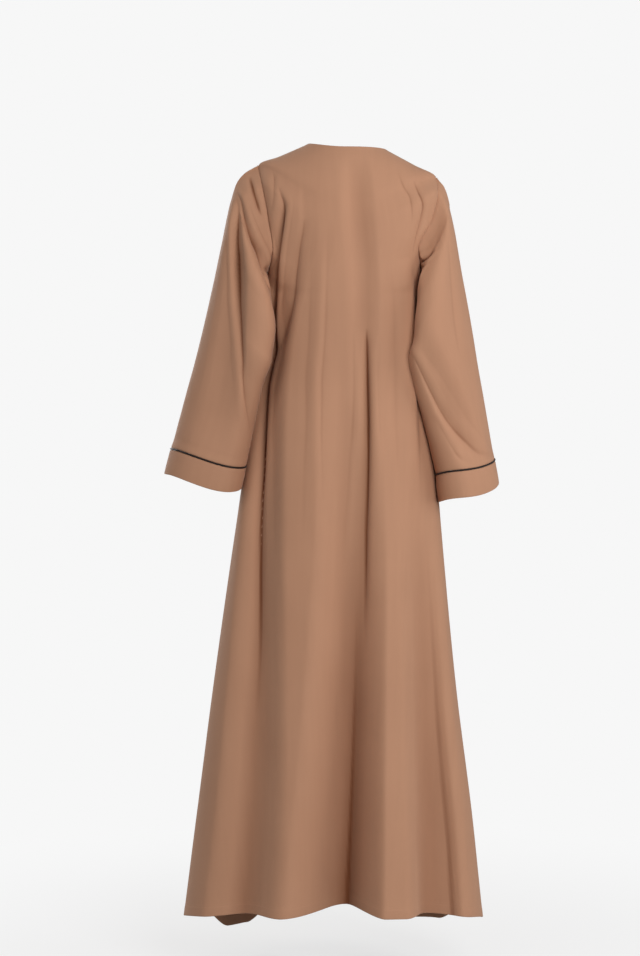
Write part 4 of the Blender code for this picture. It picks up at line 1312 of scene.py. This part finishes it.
@dataclass
class Sleeve:
    """A set-in bell sleeve with its piping and its turned cuff."""

    hand: Hand
    sections: dict[str, tuple]
    folds: dict[str, tuple]
    back_creases: dict[str, tuple]
    front_creases: dict[str, tuple]
    armhole: Armhole
    body: tuple[BodyForm, BodyForm]
    crepe: bpy.types.Material
    piping: bpy.types.Material

    def stations(self) -> Array:
        """The fine stations: closer together at the armhole and at the cuff's seam."""
        arm = np.linspace(SEAM_STATIONS[-1], LAST_STATIONS[0], ARM_STATIONS + 1)[1:-1]
        return np.concatenate([SEAM_STATIONS, arm, LAST_STATIONS, [CUFF_EDGE_STATION]])

    def outwards(self, grid: Array) -> Array:
        """Normals of the sleeve's rings, pointing out of the sleeve."""
        return grid_normals(grid, closed=True) * -self.hand.value

    def fold_depth(self, stations: Array, angle: Array) -> Array:
        """Depth of the sleeve's folds at each station and ring point.

        Args:
            stations: The stations.
            angle: The angle of each ring point.

        Returns:
            The depth [station][ring point].
        """
        depth = np.zeros((len(stations), len(angle)))
        for rows in self.folds.values():
            at = Table(SLEEVE_FOLD_COLUMNS, rows).down_grid(stations)
            inside = (stations >= rows[0][0])[:, None]
            depth += inside * np.maximum(at["depth"], 0) * hump(np.degrees(angle)[None, :] - at["angle"], at["run"])
        return depth

    def cleared(self, grid: Array, clearance: Array) -> Array:
        """The grid, pushed out where it is nearer to the body than a clearance. The push is how far each point lies
        short of it, along the nearest body point's normal, evened out over its neighbours.

        Args:
            grid: The sleeve's points.
            clearance: For each station.

        Returns:
            The cleared points.
        """
        forms = [form.plain(CLEARED_OF_ROWS, CLEARED_OF_COLUMNS) for form in self.body]
        places, normals = (np.concatenate([form[k].reshape(-1, 3) for form in forms]) for k in range(2))
        side = places[:, 0] * self.hand.value > CLEARED_OF_X
        places, normals = places[side], normals[side]
        angle = 2 * np.pi * np.arange(grid.shape[1]) / grid.shape[1]
        most = SHOULDER_PUSH + smoothstep((np.cos(angle) - np.cos(SHOULDER_ANGLE)) / SHOULDER_FADE)
        push = np.zeros_like(grid)
        for k, ring in enumerate(grid):
            gaps = (ring**2).sum(axis=1)[:, None] - 2 * ring @ places.T + (places**2).sum(axis=1)[None]
            nearest = gaps.argmin(axis=1)
            offset = ring - places[nearest]
            height = (offset * normals[nearest]).sum(axis=1)
            beside = np.linalg.norm(offset - height[:, None] * normals[nearest], axis=1)
            short = np.where(beside < CLEARING_REACH, np.maximum(clearance[k] - height, 0), 0)
            push[k] = np.minimum(short, most)[:, None] * normals[nearest]
        for _ in range(EVENING_ROUNDS):
            push = (np.roll(push, 1, axis=1) + 2 * push + np.roll(push, -1, axis=1)) / 4
            push[1:-1] = (push[:-2] + 2 * push[1:-1] + push[2:]) / 4
        return grid + push

    def surface(self, start: Array) -> Array:
        """The sleeve's outer points, [station][ring point]. A ring leaves the line between the sleeve's inner and
        outer edges by the armhole's own shape at first, and by half-ellipses further down.

        Args:
            start: The ring that it starts from.

        Returns:
            The points.
        """
        stations = self.stations()
        at = Table(SLEEVE_COLUMNS, tuple(self.sections.values())).down_grid(stations)
        angle = 2 * np.pi * np.arange(len(start)) / len(start)
        to_outer = ((1 - np.cos(angle)) / 2)[None, :, None]
        hand = self.hand.value
        inner, outer = (
            np.stack([hand * at[edge + "_x"], at[edge + "_y"], at[edge + "_z"]], axis=2) for edge in ("inner", "outer")
        )
        spine = inner + (outer - inner) * to_outer
        belly = np.sin(angle)[None, :] * np.where(angle < np.pi, at["back"], at["front"])
        behind = np.clip(np.cos(angle - np.radians(at["drop_angle"])), 0, 1) ** 2
        round_ring = np.stack([0 * belly, belly, -at["back_drop"] * behind], axis=2)
        lap = at["lap"] * np.clip(np.cos(angle - LAP_ANGLE), 0, 1) ** 2
        own_shape = start[None] - (start[0] + (start[len(start) // 2] - start[0]) * to_outer)
        rounded = smoothstep(stations / ROUND_STATION)[:, None, None]
        grid = spine + (1 - rounded) * own_shape + rounded * round_ring
        grid += lap[..., None] * np.array([-hand * LAP_ACROSS, LAP_BACK, 0])
        grid -= self.fold_depth(stations, angle)[..., None] * self.outwards(grid)
        clearance = SEAM_GAP + (BODY_CLEARANCE - SEAM_GAP) * np.clip(stations / CLEARANCE_STATION, 0, 1)
        grid[1:] = self.cleared(grid[1:], clearance[1:])
        return grid

    def dressed(self, grid: Array) -> Array:
        """The sleeve's points with creases, ripples and rolled seams.

        Args:
            grid: The sleeve's plain points.

        Returns:
            Its outer points.
        """
        normals = self.outwards(grid)
        below_seam = runs_along(grid, 0)
        above_cuff = below_seam[-2:-1] - below_seam
        creased = sum(
            smoothstep(turn * normals[..., 1] / BACKWARD_SOFTNESS + BACKWARD_SHARE) * creases_depth(creases, grid)
            for creases, turn in ((self.back_creases, 1), (self.front_creases, -1))
        )
        calm = smoothstep(below_seam / SEAM_QUIET) * smoothstep((above_cuff + CUFF_CALM) / SEAM_QUIET)
        height = ripple_height(grid) * calm
        height -= creased * smoothstep(below_seam / ARMHOLE_CREASE_FADE) * (above_cuff > 0)
        height -= CUFF_ROLL * bell(above_cuff, CUFF_ROLL_RUN) * (above_cuff >= 0)
        into_body = bell(below_seam, ARMHOLE_NORMALS_RUN)[..., None]
        sink = unit(into_body * self.armhole.normals[None] + (1 - into_body) * normals)
        return grid + height[..., None] * normals - SEAM_SINK * bell(below_seam, SEAM_SINK_RUN)[..., None] * sink

    def build(self) -> None:
        """Builds the sleeve, its piping and its cuff. The grid's last row is the cuff's edge, and the one before it
        the cuff's seam."""
        start = self.armhole.ring + SEAM_GAP * (self.armhole.lead + self.armhole.normals)
        grid = self.surface(start)
        plain_normals = self.outwards(grid)
        outer = self.dressed(grid)
        normals = self.outwards(outer)
        over_body = np.maximum((normals[0] * self.armhole.lead).sum(axis=1, keepdims=True), 0)
        normals[0] = unit(normals[0] - over_body * self.armhole.lead)
        sleeve = ClothPiece(f"sleeve_{self.hand.word}", *CUTS["sleeve"], outer[:-1], normals[:-1], CLOTH)
        sleeve.declare(sleeve.shell().tube(self.crepe, (SEAM_BULGE, SEAM_BULGE)))
        self.build_piping(grid[-2], plain_normals[-2], unit(grid[-1] - grid[-2]))
        self.build_cuff(*grid[-2:], *plain_normals[-2:])

    def build_piping(self, seam: Array, normals: Array, downwards: Array) -> None:
        """The piping: a ring of round section whose centre lies just outside the middle of the wall.

        Args:
            seam: The ring of the cuff's seam.
            normals: Its outward normals.
            downwards: Its unit directions towards the cuff.
        """
        centre = seam + (PIPING_RADIUS + SEAM_GAP) * downwards - (CLOTH / 2 - PIPING_PROUD) * normals
        angle = 2 * np.pi * np.arange(PIPING_SIDES)[:, None, None] / PIPING_SIDES
        tube = centre[None] + PIPING_RADIUS * (np.cos(angle) * downwards[None] + np.sin(angle) * normals[None])
        index = wrapped(np.arange(tube[..., 0].size).reshape(tube.shape[:2]), 0, 1)
        run = runs_along(wrapped(tube, 0, 1), 1)
        turned = 2 * np.pi * PIPING_RADIUS * np.arange(PIPING_SIDES + 1)[:, None] / PIPING_SIDES
        faces, corners = patch(index, np.stack([run, turned + 0 * run], axis=2))
        name = f"piping_{self.hand.word}"
        piece = new_piece(f"{name}_cord", tube.reshape(-1, 3), faces, corners, np.zeros(0), self.piping)
        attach(piece, "root")
        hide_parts(name)
        log.info("%s: %d faces, %.3f metres round", piece.name, len(faces), run[0, -1])

    def build_cuff(self, seam: Array, edge: Array, seam_normals: Array, edge_normals: Array) -> None:
        """The turned cuff: a doubled band from the piping to the sleeve's open edge, a little full in its middle.

        Args:
            seam: The ring of the cuff's seam.
            edge: The ring of the open edge.
            seam_normals: The seam's outward normals.
            edge_normals: The edge's outward normals.
        """
        top = seam + 2 * (PIPING_RADIUS + SEAM_GAP) * unit(edge - seam)
        even = np.linspace(0, 1, CUFF_ROWS)
        share = CUFF_GRADING * (1 - np.cos(np.pi * even)) / 2 + (1 - CUFF_GRADING) * even
        share = share[:, None, None]
        normals = unit(seam_normals + (edge_normals - seam_normals) * share)
        from_top = share * np.linalg.norm(edge - top, axis=1).mean()
        points = top + (edge - top) * share
        height = CUFF_FULL * np.sin(np.pi * share) - CUFF_TOP_ROLL * bell(from_top, CUFF_TOP_RUN)
        height = height + ripple_height(points)[..., None] * CUFF_RIPPLE * smoothstep(from_top / CUFF_RIPPLE_RUN)
        cuff = ClothPiece(f"cuff_{self.hand.word}", *CUTS["cuff"], points + height * normals, normals, DOUBLED)
        piece = cuff.shell(rim_steps=6).tube(self.crepe, (SEAM_BULGE, DOUBLED / 2))
        cuff.declare(piece)


@dataclass(frozen=True)
class Studio:
    """A pale floor that runs out into an even backdrop, soft lights and the camera.

    The floor and the backdrop show at one brightness and light the cloth with less, so its folds stay dark.
    """

    floor_z: float = -1.60
    floor_radius: float = 14.0
    backdrop: float = 0.93
    dome: float = 0.16
    bounce: float = 0.16
    grey: float = 0.90  # the floor's own colour
    roughness: float = 0.95
    specular: float = 0.1
    backdrop_from: tuple[float, float] = (0.2, 1.6)  # from the middle, where the floor turns into the backdrop
    backdrop_share: float = 0.72  # how much of the backdrop's brightness the floor has in its middle
    middle: tuple[float, float, float] = (0.0, 0.0, -0.75)
    camera_place: tuple[float, float, float] = (0.0507, 4.0, -0.6455)
    camera_lens: float = 77.0
    camera_sensor: float = 36.0

    def brightness(self, draw: NodeDrawer, lighting: float) -> bpy.types.NodeSocket:
        """A strength that is the backdrop's to the camera and another one to what it lights."""
        seen = draw.add("LightPath").outputs["Is Camera Ray"]
        return draw.add("MapRange", {0: seen, 3: lighting, 4: self.backdrop}).outputs[0]

    def floor(self) -> None:
        """The floor: a disc whose finish turns into the backdrop's own brightness further out."""
        bpy.ops.mesh.primitive_circle_add(vertices=96, radius=self.floor_radius, fill_type="NGON")
        floor = bpy.context.object
        floor.name = "studio_floor"
        floor.data.transform(floor.matrix_world.Translation(Vector((0, 0, self.floor_z))))
        material = bpy.data.materials.new("studio_floor")
        material.use_nodes = True
        draw = NodeDrawer(material.node_tree)
        dull = {"Base Color": (*3 * [self.grey], 1), "Roughness": self.roughness, "Specular IOR Level": self.specular}
        shader = draw.fill(material.node_tree.nodes["Principled BSDF"], dull)
        place = draw.add("TexCoord").outputs["Object"]
        flat = draw.add("VectorMath", {0: place, 1: (1.0, 1.0, 0.0)}, operation="MULTIPLY").outputs[0]
        away = draw.add("VectorMath", {0: flat}, operation="LENGTH").outputs["Value"]
        near, far = self.backdrop_from
        fade = {0: away, 1: near, 2: far, 3: self.backdrop_share, 4: 1.0}
        share = draw.add("MapRange", fade, interpolation_type="SMOOTHSTEP").outputs[0]
        glow = draw.add("Emission", {"Color": WHITE, "Strength": self.brightness(draw, self.bounce)}).outputs[0]
        mixed = draw.add("MixShader", {0: share, 1: shader.outputs[0], 2: glow}).outputs[0]
        draw.fill(material.node_tree.nodes["Material Output"], {"Surface": mixed})
        floor.data.materials.append(material)
        floor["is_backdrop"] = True

    def world(self) -> None:
        """An even dome: one brightness seen by the camera, and a softer one that lights the cloth."""
        world = bpy.data.worlds.new("studio")
        bpy.context.scene.world = world
        world.use_nodes = True
        draw = NodeDrawer(world.node_tree)
        lit = {"Color": WHITE, "Strength": self.brightness(draw, self.dome)}
        draw.fill(world.node_tree.nodes["Background"], lit)

    def lights(self) -> None:
        """Square soft lights: a key from behind at the right, a rim at the far right, a fill from the left, one for
        the front and one from above."""
        for name, place, size, power in LIGHTS:
            data = bpy.data.lights.new(name, "AREA")
            data.shape, data.size, data.energy = "SQUARE", size, power
            light = placed(name, data)
            light.location = place
            light.rotation_euler = (Vector(self.middle) - Vector(place)).to_track_quat("-Z", "Y").to_euler()

    def camera(self) -> None:
        """The camera, level, behind the wearer and a little to the left of the middle."""
        data = bpy.data.cameras.new("camera")
        data.sensor_fit, data.sensor_height, data.lens = "VERTICAL", self.camera_sensor, self.camera_lens
        camera = placed("camera", data)
        camera.location = self.camera_place
        camera.rotation_euler = Vector((0, -1, 0)).to_track_quat("-Z", "Y").to_euler()
        bpy.context.scene.camera = camera

    def build(self) -> None:
        """Builds the studio. Colours are shown as they are measured."""
        self.floor()
        self.world()
        self.lights()
        self.camera()
        bpy.context.scene.view_settings.view_transform = "Standard"


def main() -> None:
    """Builds the cloak and the studio."""
    logging.basicConfig(level=logging.INFO, format="%(message)s")
    weave, tone, fold = crepe_weave_group(), cloth_tone_group(), fold_shade_group()
    crepe, piping = (finish.material(weave, tone, fold) for finish in (CREPE, DARK_PIPING))
    back, front = BodyForm(BACK_LEVELS, BACK_FOLDS, {}), BodyForm(FRONT_LEVELS, FRONT_FOLDS, FRONT_DIPS)
    body = Body(back, front, crepe)
    panels = body.build()
    sleeves = (
        (Hand.LEFT, LEFT_SLEEVE, LEFT_SLEEVE_FOLDS, LEFT_BACK_CREASES, LEFT_FRONT_CREASES, "front_left", -1),
        (Hand.RIGHT, RIGHT_SLEEVE, RIGHT_SLEEVE_FOLDS, RIGHT_BACK_CREASES, RIGHT_FRONT_CREASES, "front_right", 0),
    )
    for hand, sections, folds, behind, before, panel, column in sleeves:
        armhole = Armhole.of(body.rows(), panels["back"], panels[panel], column)
        Sleeve(hand, sections, folds, behind, before, armhole, (back, front), crepe, piping).build()
    Studio().build()


if __name__ == "__main__":
    main()
    dressed_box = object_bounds()
    sizes = {"cad": [list(corner) for corner in cad_box], "dressed": [list(corner) for corner in dressed_box]}
